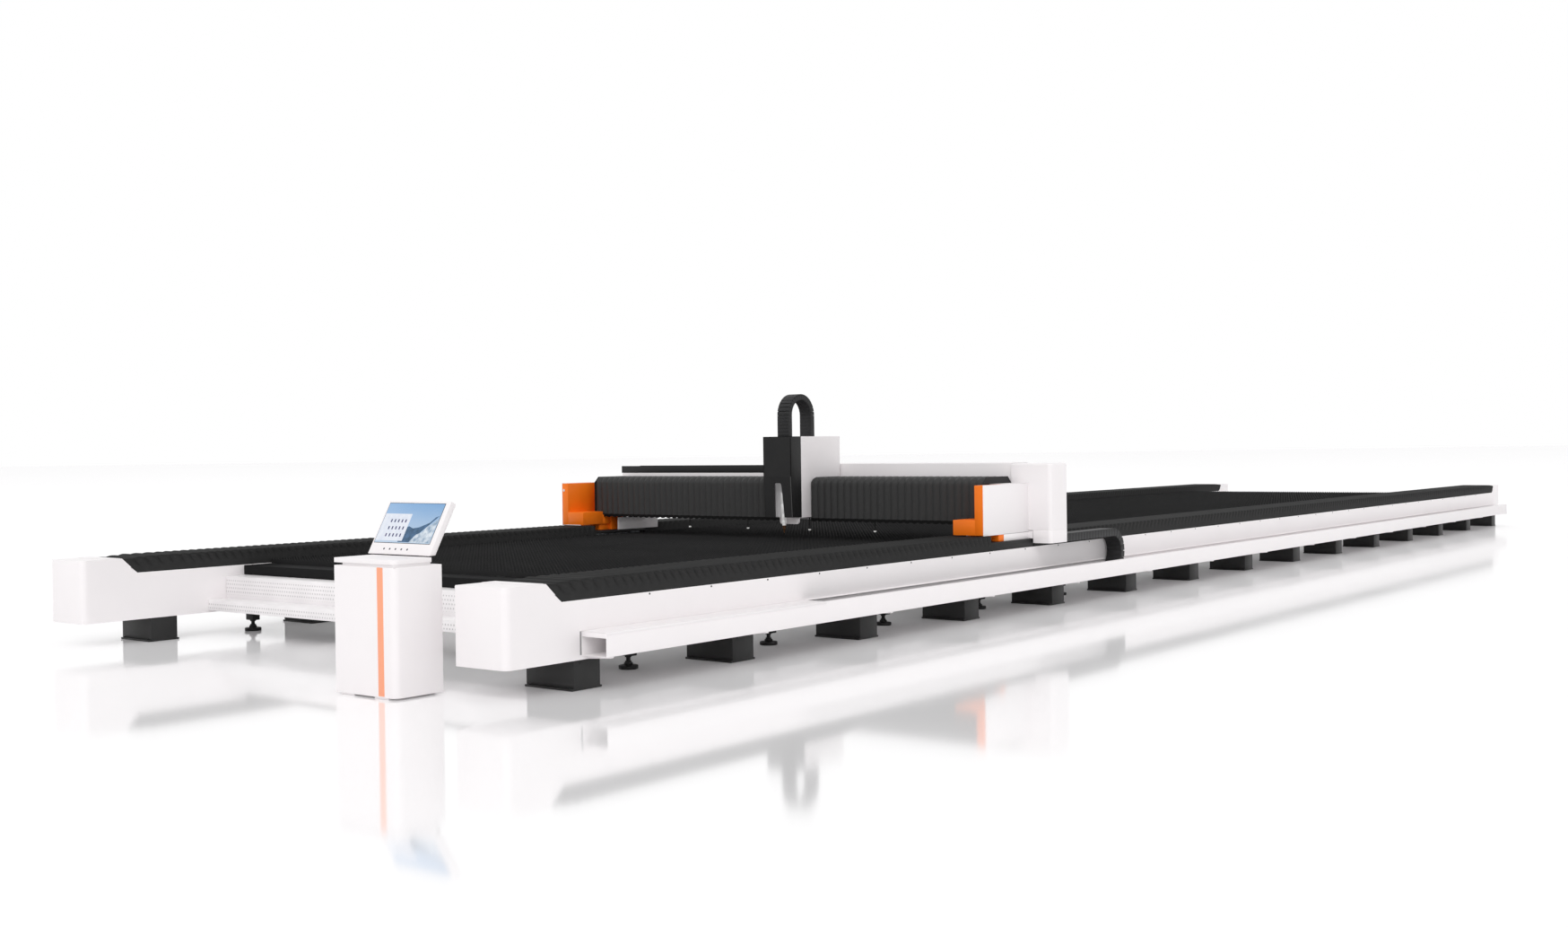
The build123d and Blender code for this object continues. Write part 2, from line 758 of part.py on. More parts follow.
# Open tray for the cables of the beam, on the lower left half of the rear cover
with BuildPart() as cable_tray:
    tray = (
        (rear_front, 1443),
        (rear_back, 1443),
        (rear_back, 1530),
        (rear_back - 4, 1530),
        (rear_back - 4, 1447),
        (rear_front + 4, 1447),
        (rear_front + 4, 1530),
        (rear_front, 1530),
    )
    prism(facing_right(rear_left - 10), tray, rear_split - rear_left + 10)
cable_tray.part.label = "cable_tray"
export_step(cable_tray.part, "parts/cable_tray.step")

# Guides, rack and bellows along the beam
x_span = (-folds_end + 10, folds_end - 10)
x_guide_heights = (1010.0, 1250.0)
x_guide_depth = 38.0
with BuildPart() as x_guide_rails:
    for z in x_guide_heights:
        bar(x_span, (beam_front - x_guide_depth, beam_front), (z - 17.5, z + 17.5))
x_guide_rails.part.label = "x_guide_rails"
export_step(x_guide_rails.part, "parts/x_guide_rails.step")

x_rack_bottom = 1130.0
with BuildPart() as x_rack:
    bar(x_span, (beam_front - 44, beam_front), (x_rack_bottom, x_rack_bottom + 30))
x_rack.part.label = "x_rack"
export_step(x_rack.part, "parts/x_rack.step")


def folds_section(x, depth):
    """The beam bellows outline at x, its outer skin moved in by depth."""
    bend = folds_chamfer
    shift = depth * tan(radians(22.5))
    wall = folds_wall * tan(radians(22.5))
    front, back = folds_front + depth, folds_back - depth
    top = folds_top - depth
    inner_front, inner_back = folds_front + folds_wall, folds_back - folds_wall
    inner_top = folds_top - folds_wall
    out = (
        (front, folds_bottom),
        (front, folds_top - bend - shift),
        (folds_front + bend + shift, top),
        (folds_back - bend - shift, top),
        (back, folds_top - bend - shift),
        (back, folds_bottom),
        (inner_back, folds_bottom),
        (inner_back, folds_top - bend - wall),
        (folds_back - bend - wall, inner_top),
        (folds_front + bend + wall, inner_top),
        (inner_front, folds_top - bend - wall),
        (inner_front, folds_bottom),
    )
    return [(x, y, z) for y, z in out]


def beam_bellows(start, end):
    """Pleats of about 135 mm between two places along the beam."""
    pleats = round((end - start) / 135)
    step = (end - start) / (2 * pleats)
    stations = []
    for n in range(2 * pleats + 1):
        stations.append(folds_section(start + n * step, bellows_pleat if n % 2 == 0 else 0))
    folds(stations)


with BuildPart() as x_bellows_left:
    beam_bellows(-folds_end, carriage_left)
x_bellows_left.part.label = "x_bellows_left"
export_step(x_bellows_left.part, "parts/x_bellows_left.step")

with BuildPart() as x_bellows_right:
    beam_bellows(carriage_right, folds_end)
x_bellows_right.part.label = "x_bellows_right"
export_step(x_bellows_right.part, "parts/x_bellows_right.step")

with BuildPart() as bellows_end_plates:
    plate_outline = (
        (folds_front, folds_bottom),
        (folds_front, folds_top - folds_chamfer),
        (folds_front + folds_chamfer, folds_top),
        (folds_back - folds_chamfer, folds_top),
        (folds_back, folds_top - folds_chamfer),
        (folds_back, folds_bottom),
        (end_block_back, folds_bottom),
        (end_block_back, beam_top),
        (beam_front, beam_top),
        (beam_front, folds_bottom),
    )
    prism(facing_right(folds_end), plate_outline, end_plate)
    mirror(about=mirrored_side())
bellows_end_plates.part.label = "bellows_end_plates"
export_step(bellows_end_plates.part, "parts/bellows_end_plates.step")

# Carriage: a hollow box over the beam with a leg down its front
carriage_centre = (carriage_left + carriage_right) / 2
x_pinion_radius = 25.0
x_pinion_z = x_rack_bottom - slide_gap - x_pinion_radius


def box_outline(wall):
    return (
        (box_front + wall, box_bottom + wall),
        (box_leg_back - wall, box_bottom + wall),
        (box_leg_back - wall, box_step + wall),
        (box_back - wall, box_step + wall),
        (box_back - wall, carriage_top - wall),
        (box_front + wall, carriage_top - wall),
    )


with BuildPart() as carriage_box:
    prism(facing_right(carriage_left), box_outline(0), carriage_right - carriage_left)
    inner_width = carriage_right - carriage_left - 2 * box_wall
    prism(facing_right(carriage_left + box_wall), box_outline(box_wall), inner_width, Mode.SUBTRACT)
    with BuildSketch(facing_front(box_leg_back - box_wall - 1)) as shaft_hole:
        with Locations((carriage_centre, x_pinion_z)):
            Circle(12)
    extrude(shaft_hole.sketch, amount=-(box_wall + 2), mode=Mode.SUBTRACT)
    for x in (head_x - 105, head_x + 105):
        guide_y = (plate_back + slide_gap, box_front)
        bar((x - 10, x + 10), guide_y, (box_bottom + 35, motor_bottom - 10))
carriage_box.part.label = "carriage_box"
export_step(carriage_box.part, "parts/carriage_box.step")

with BuildPart() as x_slide_blocks:
    for z in x_guide_heights:
        for x in (carriage_centre - 120, carriage_centre + 120):
            bar((x - 50, x + 50), (box_leg_back, beam_front - 10), (z - 40, z + 40))
            groove_y = (beam_front - x_guide_depth - slide_gap, beam_front)
            groove = (z - 17.5 - slide_gap, z + 17.5 + slide_gap)
            bar((x - 51, x + 51), groove_y, groove, Mode.SUBTRACT)
x_slide_blocks.part.label = "x_slide_blocks"
export_step(x_slide_blocks.part, "parts/x_slide_blocks.step")

drive_back = box_leg_back - box_wall - 7
with BuildPart() as x_drive:
    motor_x = (carriage_centre - 50, carriage_centre + 50)
    motor_z = (x_pinion_z - 50, x_pinion_z + 50)
    bar(motor_x, (box_front + box_wall, drive_back), motor_z)
x_drive.part.label = "x_drive"
export_step(x_drive.part, "parts/x_drive.step")

with BuildPart() as x_pinion:
    for radius, low, high in (
        (8.0, drive_back + slide_gap, beam_front - 45),
        (x_pinion_radius, beam_front - 45, beam_front - 5),
    ):
        with BuildSketch(facing_front(low)) as disc:
            with Locations((carriage_centre, x_pinion_z)):
                RegularPolygon(radius, 24)
        extrude(disc.sketch, amount=-(high - low))
x_pinion.part.label = "x_pinion"
export_step(x_pinion.part, "parts/x_pinion.step")

# Head cover: a shell open at the back and below, with a tall slot in its front
slot_left = 320.0
slot_radius = 52.0
slot_top = 1345.0
slot_foot = 451.0
head_bottom = 963.0
head_wall = 6.0
head_recess = 25.0


def head_outline(wall, back, bottom):
    return (
        (head_front + head_recess + wall, bottom),
        (back, bottom),
        (back, carriage_top - wall),
        (head_front + wall, carriage_top - wall),
        (head_front + wall, 1420),
    )


with BuildPart() as head_cover:
    head_side = head_outline(0, box_front, head_bottom)
    prism(facing_right(carriage_left), head_side, carriage_right - carriage_left)
    inner_width = carriage_right - carriage_left - 2 * head_wall
    hollow = head_outline(head_wall, box_front + 1, head_bottom - 1)
    prism(facing_right(carriage_left + head_wall), hollow, inner_width, Mode.SUBTRACT)
    slot_centre = slot_left + slot_radius
    slot = (
        (slot_left, head_bottom - 10),
        (slot_foot, head_bottom - 10),
        (slot_centre + slot_radius, slot_top - slot_radius),
        (slot_left, slot_top - slot_radius),
    )
    prism(facing_front(head_front - 10), slot, -60, Mode.SUBTRACT)
    with BuildSketch(facing_front(head_front - 10)) as slot_round:
        with Locations((slot_centre, slot_top - slot_radius)):
            Circle(slot_radius)
    extrude(slot_round.sketch, amount=-60, mode=Mode.SUBTRACT)
    chain_hole_y = (z_chain_centre - loop_outer - 9, box_front + 1)
    chain_hole_x = (z_chain_left - 6, z_chain_right + 6)
    chain_hole_z = (carriage_top - head_wall - 1, carriage_top + 1)
    bar(chain_hole_x, chain_hole_y, chain_hole_z, Mode.SUBTRACT)
head_cover.part.label = "head_cover"
export_step(head_cover.part, "parts/head_cover.step")

# Height axis: the plate slides on two ribs of the carriage box and is driven by a screw
plate_bottom = 885.0
plate_top = 1520.0
nut_z = (1390.0, 1440.0)
with BuildPart() as z_slide_plate:
    bar((head_x - 170, head_x + 170), (plate_front, plate_back), (plate_bottom, plate_top))
    corners = z_slide_plate.edges().filter_by(Axis.Y).group_by(Axis.Z)[0]
    fillet(corners, radius=35)
    nut_x = (screw_x - 40, screw_x + 35)
    bar(nut_x, (screw_y - 25, plate_front), nut_z)
    leg_to_plate = (z_chain_centre - loop_outer, plate_front)
    bar((z_chain_left + 4, z_chain_right - 4), leg_to_plate, (plate_top - 20, plate_top))
    with BuildSketch(level(nut_z[0] - 1)) as screw_bore:
        with Locations((screw_x, screw_y)):
            Circle(screw_radius + hinge_fit)
    extrude(screw_bore.sketch, amount=nut_z[1] - nut_z[0] + 2, mode=Mode.SUBTRACT)
z_slide_plate.part.label = "z_slide_plate"
export_step(z_slide_plate.part, "parts/z_slide_plate.step")

with BuildPart() as z_motor:
    motor_z = (motor_bottom, motor_bottom + motor_length)
    bar((screw_x - 45, screw_x + 45), (screw_y - 45, box_front), motor_z)
z_motor.part.label = "z_motor"
export_step(z_motor.part, "parts/z_motor.step")

with BuildPart() as z_screw:
    with BuildSketch(level(1230)) as screw:
        with Locations((screw_x, screw_y)):
            Circle(screw_radius)
    extrude(screw.sketch, amount=motor_bottom - slide_gap - 1230)
z_screw.part.label = "z_screw"
export_step(z_screw.part, "parts/z_screw.step")


def column(radius, low, high, sides=24, mode=Mode.ADD):
    """A many-sided column about the head's axis."""
    with BuildSketch(Plane(origin=(mid_x + head_x, front_y + head_y, low))) as round_face:
        RegularPolygon(radius, sides)
    extrude(round_face.sketch, amount=high - low, mode=mode)


nozzle_top = 870.0
with BuildPart() as cutting_head:
    column(22, nozzle_top, 900)
    column(30, 900, 1005)
    column(38, 1005, 1240)
    bar((head_x - 35, head_x + 35), (head_y, plate_front), (1030, 1220))
cutting_head.part.label = "cutting_head"
export_step(cutting_head.part, "parts/cutting_head.step")

with BuildPart() as nozzle:
    rings = []
    for z, radius in ((nozzle_tip, 5), (840, 15)):
        with BuildSketch(Plane(origin=(mid_x + head_x, front_y + head_y, z))) as ring:
            RegularPolygon(radius, 16)
        rings.append(ring.sketch.face())
    loft(sections=rings, ruled=True)
    column(20, 840, nozzle_top, 16)
    column(1.5, nozzle_tip, nozzle_top, 8, Mode.SUBTRACT)
nozzle.part.label = "nozzle"
export_step(nozzle.part, "parts/nozzle.step")

# Height axis chain: it rises from the slide plate, bends over and comes down into the box
z_chain_width = z_chain_right - z_chain_left
leg_front = (z_chain_centre - loop_outer, z_chain_centre - loop_outer + z_band)
leg_rear = (z_chain_centre + loop_outer - z_band, z_chain_centre + loop_outer)
with BuildPart() as z_chain_front:
    bar((z_chain_left, z_chain_right), leg_front, (plate_top, loop_z))
z_chain_front.part.label = "z_chain_front"
export_step(z_chain_front.part, "parts/z_chain_front.step")

with BuildPart() as z_chain_rear:
    bar((z_chain_left, z_chain_right), leg_rear, (carriage_top, loop_z))
z_chain_rear.part.label = "z_chain_rear"
export_step(z_chain_rear.part, "parts/z_chain_rear.step")

with BuildPart() as z_chain_bend:
    with BuildSketch(facing_right(z_chain_left)) as arch:
        with Locations((z_chain_centre, loop_z)):
            Circle(loop_outer)
            Circle(loop_outer - z_band, mode=Mode.SUBTRACT)
        with Locations((z_chain_centre, loop_z - loop_outer)):
            Rectangle(3 * loop_outer, 2 * loop_outer, mode=Mode.SUBTRACT)
    extrude(arch.sketch, amount=z_chain_width)
z_chain_bend.part.label = "z_chain_bend"
export_step(z_chain_bend.part, "parts/z_chain_bend.step")
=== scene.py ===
"""Looks of a large gantry laser cutting machine, built over its CAD frame.

All sizes are metres of the machine: X across the bed from the middle between the rails,
Y back from the front of the rail end covers, Z up from the floor. `to_frame` shifts them
into the shared frame once, where a mesh is made.
"""

from __future__ import annotations

import logging
import math
from collections.abc import Callable, Iterable, Sequence
from dataclasses import dataclass, field
from enum import Enum

import bmesh
import bpy
import numpy as np
from mathutils import Matrix, Vector

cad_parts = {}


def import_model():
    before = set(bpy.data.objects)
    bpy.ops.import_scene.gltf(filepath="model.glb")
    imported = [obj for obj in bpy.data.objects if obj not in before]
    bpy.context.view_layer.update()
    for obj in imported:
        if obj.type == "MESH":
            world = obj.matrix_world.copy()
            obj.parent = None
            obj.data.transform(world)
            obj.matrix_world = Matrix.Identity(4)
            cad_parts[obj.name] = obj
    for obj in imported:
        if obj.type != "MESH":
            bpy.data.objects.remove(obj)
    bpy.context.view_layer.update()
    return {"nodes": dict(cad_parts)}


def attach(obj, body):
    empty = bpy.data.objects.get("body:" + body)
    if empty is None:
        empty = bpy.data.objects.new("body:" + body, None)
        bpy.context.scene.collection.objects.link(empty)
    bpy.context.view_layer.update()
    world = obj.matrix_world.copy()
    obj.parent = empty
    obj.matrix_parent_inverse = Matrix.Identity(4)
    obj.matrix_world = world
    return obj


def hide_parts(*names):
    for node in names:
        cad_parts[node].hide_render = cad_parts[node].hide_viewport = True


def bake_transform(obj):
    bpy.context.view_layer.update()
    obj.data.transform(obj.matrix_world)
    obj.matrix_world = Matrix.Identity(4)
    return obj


log = logging.getLogger("machine")

Pair = tuple[float, float]
Block = tuple[Pair, Pair, Pair, float]
Source = bpy.types.Node | bpy.types.NodeSocket

FRAME_SHIFT = np.array([-0.126, -13.016, 0.0])
SIDES = (-1, 1)
MACHINE_LENGTH = 26.376
RAIL_FACE = 3.063
PLATE_TOP = 0.745
CARRIAGE_X = (0.178, 0.565)


def to_frame(points: np.ndarray | Sequence[float]) -> np.ndarray:
    """Machine points moved by the fixed shift to points of the shared frame."""
    return np.asarray(points, float) + FRAME_SHIFT


def on_side(side: int, a: float, b: float) -> Pair:
    """The X span between a and b, mirrored to -X for side -1, lower end first."""
    low, high = sorted((side * a, side * b))
    return low, high


class Body(Enum):
    """The CAD bodies that pieces ride on."""

    BASE = "base"
    GANTRY = "gantry"
    Y_LOOP = "y_chain_loop"
    CARRIAGE = "carriage"
    HEIGHT = "z_slide"
    Z_LOOP = "z_chain_loop"
    MONITOR = "monitor"


class Axis(Enum):
    """The axis an outline is drawn out along, and the two axes of the outline."""

    X = (0, 1, 2)
    Y = (1, 0, 2)
    Z = (2, 0, 1)


# Finishes: what each real surface is made of and what that gives the eye.


def linear(colour: str) -> tuple[float, float, float, float]:
    """An sRGB hex colour as linear RGBA, c/12.92 or ((c + 0.055)/1.055)^2.4.

    Args:
        colour: Six hex digits after a #.

    Returns:
        Red, green, blue and a full alpha.
    """
    out = []
    for i in (1, 3, 5):
        c = int(colour[i : i + 2], 16) / 255
        out.append(c / 12.92 if c <= 0.04045 else ((c + 0.055) / 1.055) ** 2.4)
    return (*out, 1.0)


@dataclass(frozen=True)
class Finish:
    """One real surface.

    Attributes:
        name: The real material.
        light: Colour of the lighter spots, as sRGB hex.
        dark: Colour of the darker spots.
        rough: Lowest and highest roughness over the surface.
        metal: 1 for bare metal.
        grain: Size of the mottling in metres.
        stretch: Factors on the grain along X, Y and Z, small along a brushing direction.
        bump: Height of the surface grain in metres.
        specular: Specular level, 0.5 for common paint and less for dull cloth.
        glow: Strength of its own light, for a lamp or for light that white parts near it
            throw on it.
        top: Factor on the colour of faces that look up: painted shade that keeps tops dark.
    """

    name: str
    light: str
    dark: str
    rough: Pair = (0.4, 0.5)
    metal: float = 0.0
    grain: float = 0.05
    stretch: tuple[float, float, float] = (1.0, 1.0, 1.0)
    bump: float = 0.0
    specular: float = 0.5
    glow: float = 0.0
    top: float = 1.0


# Powder baked onto sheet steel: an even, slightly soft sheen and no visible grain.
WHITE_COAT = Finish(
    "white_powder_coat", "#f7f3f4", "#f3eff0", (0.34, 0.44), grain=0.35, bump=0.00004
)
# The same powder a shade darker, which sets the long rear cover, the console's neck and the
# plate of the height axis off from the white sheets beside them.
GREY_COAT = Finish(
    "light_grey_powder_coat", "#ece8e9", "#e6e2e3", (0.36, 0.46), grain=0.3, bump=0.00004
)
# Sprayed enamel on machined castings: a full orange with a weak highlight.
ORANGE_COAT = Finish(
    "orange_enamel", "#ff8018", "#fb7811", (0.35, 0.45), grain=0.2, bump=0.00003, specular=0.3
)
# The console's stripe, the same kind of enamel mixed with white.
SALMON_COAT = Finish(
    "salmon_enamel", "#fdab87", "#f8a47f", (0.32, 0.42), grain=0.2, bump=0.00003, specular=0.3
)
# Black powder on sheet: dark, with a broad dull highlight.
BLACK_COAT = Finish(
    "black_powder_coat", "#262626", "#1f1f20", (0.45, 0.55), grain=0.15, bump=0.00005,
    specular=0.22,
)
# Brushed or rolled paint on legs and members, a little lighter than the powder.
DARK_PAINT = Finish(
    "dark_structural_paint", "#2d2d2d", "#262626", (0.42, 0.55), grain=0.2, bump=0.00006,
    specular=0.25,
)
# Plastic-coated fabric: dark grey with a silky light on the crown of each fold.
BELLOWS_CLOTH = Finish(
    "coated_bellows_cloth", "#3b3b3b", "#353535", (0.55, 0.66), grain=0.03, bump=0.0001,
    specular=0.22,
)
# The rails' matt cloth, with painted shade that keeps it dark on top where all light falls on it.
RAIL_CLOTH = Finish(
    "coated_rail_cloth", "#363636", "#303030", (0.62, 0.74), grain=0.04, bump=0.0001,
    specular=0.05, top=0.62,
)
# A grey strip in the joint between the trough and the rail: painted shadow of the narrow gap.
SEAM_SHADE = Finish(
    "painted_shadow_in_the_joint", "#a19fa0", "#969495", (0.5, 0.6), grain=0.05, specular=0.2
)
# A painted highlight along a folded edge of the black powder: a thin grey line along the corner.
EDGE_HIGHLIGHT = Finish("painted_edge_highlight", "#555555", "#494949", (0.35, 0.45), grain=0.05, specular=0.3)
# Near-black band and tabs under the beam's cloth, without a highlight: painted shadow of the
# folds.
HEM_SHADOW = Finish("hem_painted_shadow", "#141414", "#0e0e0e", (0.6, 0.7), grain=0.02, specular=0.1)
# Moulded chain links: dark, faintly satin plastic.
CHAIN_NYLON = Finish(
    "moulded_nylon", "#2e2e2e", "#28282a", (0.45, 0.56), grain=0.02, bump=0.00005,
    specular=0.22,
)
# Dead matt paint on the slabs at the table's ends, with painted shade on their tops.
SLAB_PAINT = Finish(
    "matt_black_paint", "#242424", "#1e1e1f", (0.7, 0.8), grain=0.2, bump=0.00005,
    specular=0.04, top=0.7,
)
# Mild steel strips blackened by cutting: dark and rough, with no clean metal left.
SLAT_STEEL = Finish(
    "burnt_slat_steel", "#2a2a2a", "#232324", (0.55, 0.7), grain=0.06, bump=0.0002,
    specular=0.15,
)
# Very light brushed aluminium with fine marks up and down the barrel; its glow is painted light.
BRUSHED_GLOWING = Finish(
    "brushed_aluminium_painted_glow", "#e9e8e7", "#d6d6d6", (0.28, 0.42), metal=0.3, grain=0.01,
    stretch=(1, 1, 0.05), glow=0.2,
)
# Guideways, racks and pinions: bright ground steel with fine marks along Y.
GROUND_STEEL = Finish(
    "ground_steel", "#8d9093", "#74777a", (0.2, 0.35), metal=1.0, grain=0.01,
    stretch=(1, 0.02, 1),
)
# Turned copper, dulled to brown by heat.
COPPER = Finish("nozzle_copper", "#8d6a4e", "#765740", (0.25, 0.4), metal=1.0, grain=0.004)
# Moulded key caps: dark blue-grey with a small clear highlight.
KEY_PLASTIC = Finish("key_plastic", "#3b3e48", "#33363e", (0.35, 0.45), grain=0.004)
# Frosted lens of a lamp: pale, lit from inside.
LAMP_LENS = Finish("lamp_lens_plastic", "#f2f1ee", "#e6e5e2", (0.3, 0.4), grain=0.01, glow=0.3)
# White sheet behind the head, standing in for the lit inside of the slot: greyer as painted
# shade, and held up by a glow that is painted light thrown back on it.
LIT_SHEET = Finish("sheet_with_painted_light", "#d9d7d8", "#cfcdce", (0.4, 0.5), grain=0.2, glow=0.22)


class Graph:
    """A node tree of a material or of the world."""

    def __init__(
        self,
        owner: bpy.types.Material | bpy.types.World,
        output: str = "OutputMaterial",
    ) -> None:
        """Empties the owner's tree and adds the output node.

        Args:
            owner: What the tree belongs to.
            output: Type of the output node.
        """
        owner.use_nodes = True
        self.owner = owner
        self.tree = owner.node_tree
        self.tree.nodes.clear()
        self.output = self.add(output)

    def add(self, kind: str, inputs: dict | None = None, **settings: str | bool) -> bpy.types.Node:
        """Adds one node.

        Args:
            kind: Blender's node type after the word ShaderNode.
            inputs: Socket name or index to a number, a colour, another node's socket, or
                another node, which stands for its first output.
            settings: Attributes of the node.

        Returns:
            The node.
        """
        node = self.tree.nodes.new(f"ShaderNode{kind}")
        for key, value in settings.items():
            setattr(node, key, value)
        for key, value in (inputs or {}).items():
            if isinstance(value, bpy.types.Node):
                value = value.outputs[0]
            if isinstance(value, bpy.types.NodeSocket):
                self.tree.links.new(value, node.inputs[key])
            else:
                node.inputs[key].default_value = value
        return node

    def close(self, shader: bpy.types.Node) -> bpy.types.Material | bpy.types.World:
        """Joins a shader to the output.

        Args:
            shader: The node whose first output is shown.

        Returns:
            The tree's owner.
        """
        self.tree.links.new(shader.outputs[0], self.output.inputs[0])
        return self.owner


@dataclass(frozen=True)
class Ground:
    """What most finishes start from.

    Attributes:
        colour: Mottled colour.
        rough: Varied roughness.
        grain: Fine noise, for the bump.
        place: Object coordinates.
    """

    colour: Source
    rough: Source
    grain: Source
    place: Source


class Finishes:
    """Builds each material once."""

    FINE = 12.0
    """Fine grains to one mottle."""
    BUMP_STRENGTH = 0.6
    SCREEN_LIGHT = 0.92
    """Strength of a display's own light, a little under the white of the surroundings."""

    def __init__(self) -> None:
        """Starts with no materials."""
        self.made: dict[str, bpy.types.Material] = {}

    def get(self, finish: Finish) -> bpy.types.Material:
        """The material of a finish: noise between two colours, varied roughness and bump.

        Args:
            finish: The surface.

        Returns:
            Its material, the same one each time.
        """
        if finish.name not in self.made:
            self.made[finish.name] = self._surface(finish)
        return self.made[finish.name]

    def _ground(self, g: Graph, finish: Finish) -> Ground:
        """Broad noise mixes the two colours, and fine noise spreads the roughness.

        Args:
            g: The material's tree.
            finish: The surface.

        Returns:
            Colour, roughness, fine noise and coordinates.
        """
        place = g.add("TexCoord").outputs["Object"]
        at = g.add("Mapping", {"Vector": place, "Scale": finish.stretch})
        broad = g.add("TexNoise", {"Vector": at, "Scale": 1 / finish.grain, "Detail": 4.0})
        fine = g.add("TexNoise", {"Vector": at, "Scale": self.FINE / finish.grain, "Detail": 2.0})
        colour = g.add(
            "Mix",
            {0: broad, 6: linear(finish.dark), 7: linear(finish.light)},
            data_type="RGBA",
        )
        low, high = finish.rough
        rough = g.add("Math", {0: fine, 1: high - low, 2: low}, operation="MULTIPLY_ADD")
        return Ground(colour.outputs[2], rough, fine, place)

    def _close(
        self, g: Graph, finish: Finish, ground: Ground, colour: Source
    ) -> bpy.types.Material:
        """Adds the shader with bump and own light.

        Args:
            g: The material's tree.
            finish: The surface.
            ground: Its roughness and grain.
            colour: Its colour.

        Returns:
            The material.
        """
        inputs = {
            "Base Color": colour,
            "Roughness": ground.rough,
            "Metallic": finish.metal,
            "Specular IOR Level": finish.specular,
        }
        if finish.bump:
            inputs["Normal"] = g.add(
                "Bump",
                {"Height": ground.grain, "Distance": finish.bump, "Strength": self.BUMP_STRENGTH},
            )
        if finish.glow:
            inputs["Emission Color"] = colour
            inputs["Emission Strength"] = finish.glow
        return g.close(g.add("BsdfPrincipled", inputs))

    def _surface(self, finish: Finish) -> bpy.types.Material:
        """A finish all over, with painted shade on faces that look up where its top asks for it.

        Args:
            finish: The surface.

        Returns:
            The material.
        """
        g = Graph(bpy.data.materials.new(finish.name))
        ground = self._ground(g, finish)
        colour = ground.colour
        # Painted shade: faces that look up take the darker colour times top.
        if finish.top != 1.0:
            normal = g.add("NewGeometry").outputs["Normal"]
            facing = g.add("SeparateXYZ", {"Vector": normal}).outputs["Z"]
            up = g.add("Clamp", {0: facing})
            shade = (*(c * finish.top for c in linear(finish.dark)[:3]), 1.0)
            mixed = g.add("Mix", {0: up, 6: colour, 7: shade}, data_type="RGBA")
            colour = mixed.outputs[2]
        return self._close(g, finish, ground, colour)

    def perforated(self, pitch: float, hole: float, span: Pair) -> bpy.types.Material:
        """White sheet with round punched holes in staggered rows in X and Z.

        A point is in a hole where the squares of its distances from the middle of its cell
        add up to less than the hole's radius squared. Every second row is moved by half a
        pitch. The sheet between the holes is clouded from light grey to white.

        Args:
            pitch: Distance between holes in metres.
            hole: Radius of a hole in metres.
            span: Lowest and highest height with holes.

        Returns:
            The material.
        """
        g = Graph(bpy.data.materials.new(f"perforated_sheet_{int(span[0] * 1000)}"))
        ground = self._ground(g, WHITE_COAT)
        axes = g.add("SeparateXYZ", {"Vector": ground.place}).outputs

        x, z = axes["X"], axes["Z"]
        count = g.add("Math", {0: z, 1: pitch}, operation="DIVIDE")
        whole = g.add("Math", {0: count}, operation="FLOOR")
        odd = g.add("Math", {0: whole, 1: 2.0}, operation="FLOORED_MODULO")
        shifted = g.add("Math", {0: odd, 1: pitch / 2, 2: x}, operation="MULTIPLY_ADD")
        squares = {}
        for index, axis in enumerate((shifted, z)):
            cell = g.add("Math", {0: axis, 1: pitch}, operation="FLOORED_MODULO")
            off = g.add("Math", {0: cell, 1: pitch / 2}, operation="SUBTRACT")
            squares[index] = g.add("Math", {0: off, 1: off}, operation="MULTIPLY")
        total = g.add("Math", squares, operation="ADD")
        mask = g.add("Math", {0: total, 1: hole * hole}, operation="LESS_THAN")
        for test, limit in zip(("GREATER_THAN", "LESS_THAN"), span):
            within = g.add("Math", {0: z, 1: limit}, operation=test)
            mask = g.add("Math", {0: mask, 1: within}, operation="MULTIPLY")
        cloud = g.add("TexNoise", {"Vector": ground.place, "Scale": 2.2, "Detail": 1.0})
        spread = g.add("Math", {0: cloud, 1: 1.6, 2: -0.3}, operation="MULTIPLY_ADD")
        shade = g.add("Clamp", {0: spread})
        sheet = g.add(
            "Mix",
            {0: shade, 6: linear("#e9e6e7"), 7: linear("#fbf8f9")},
            data_type="RGBA",
        )
        # The holes are grey discs on the sheet: painted shade of the space behind it.
        holed = g.add(
            "Mix",
            {0: mask, 6: sheet.outputs[2], 7: linear("#cfcccd")},
            data_type="RGBA",
        )
        return self._close(g, WHITE_COAT, ground, holed.outputs[2])

    def _lit(self, g: Graph, colour: Source) -> bpy.types.Material:
        """A display behind dark glass: the colour is its own light.

        Args:
            g: The material's tree.
            colour: Colour of the light.

        Returns:
            The material.
        """
        noise = g.add("TexNoise", {"Scale": 40.0, "Detail": 1.0})
        rough = g.add("Math", {0: noise, 1: 0.05, 2: 0.25}, operation="MULTIPLY_ADD")
        skin = g.add(
            "BsdfPrincipled",
            {
                "Base Color": linear("#16191d"),
                "Roughness": rough,
                "Emission Color": colour,
                "Specular IOR Level": 0.2,
                "Emission Strength": self.SCREEN_LIGHT,
            },
        )
        return g.close(skin)

    def picture(self, name: str, light: str, dark: str) -> bpy.types.Material:
        """One shape of the picture on the display, clouded between two colours.

        Args:
            name: Name of the shape.
            light: Lighter colour.
            dark: Darker colour.

        Returns:
            The material.
        """
        g = Graph(bpy.data.materials.new(name))
        place = g.add("TexCoord").outputs["Object"]
        noise = g.add("TexNoise", {"Vector": place, "Scale": 22.0, "Detail": 4.0})
        spread = g.add("Math", {0: noise, 1: 3.0, 2: -1.0}, operation="MULTIPLY_ADD")
        colour = g.add(
            "Mix",
            {0: g.add("Clamp", {0: spread}), 6: linear(dark), 7: linear(light)},
            data_type="RGBA",
        )
        return self._lit(g, colour.outputs[2])

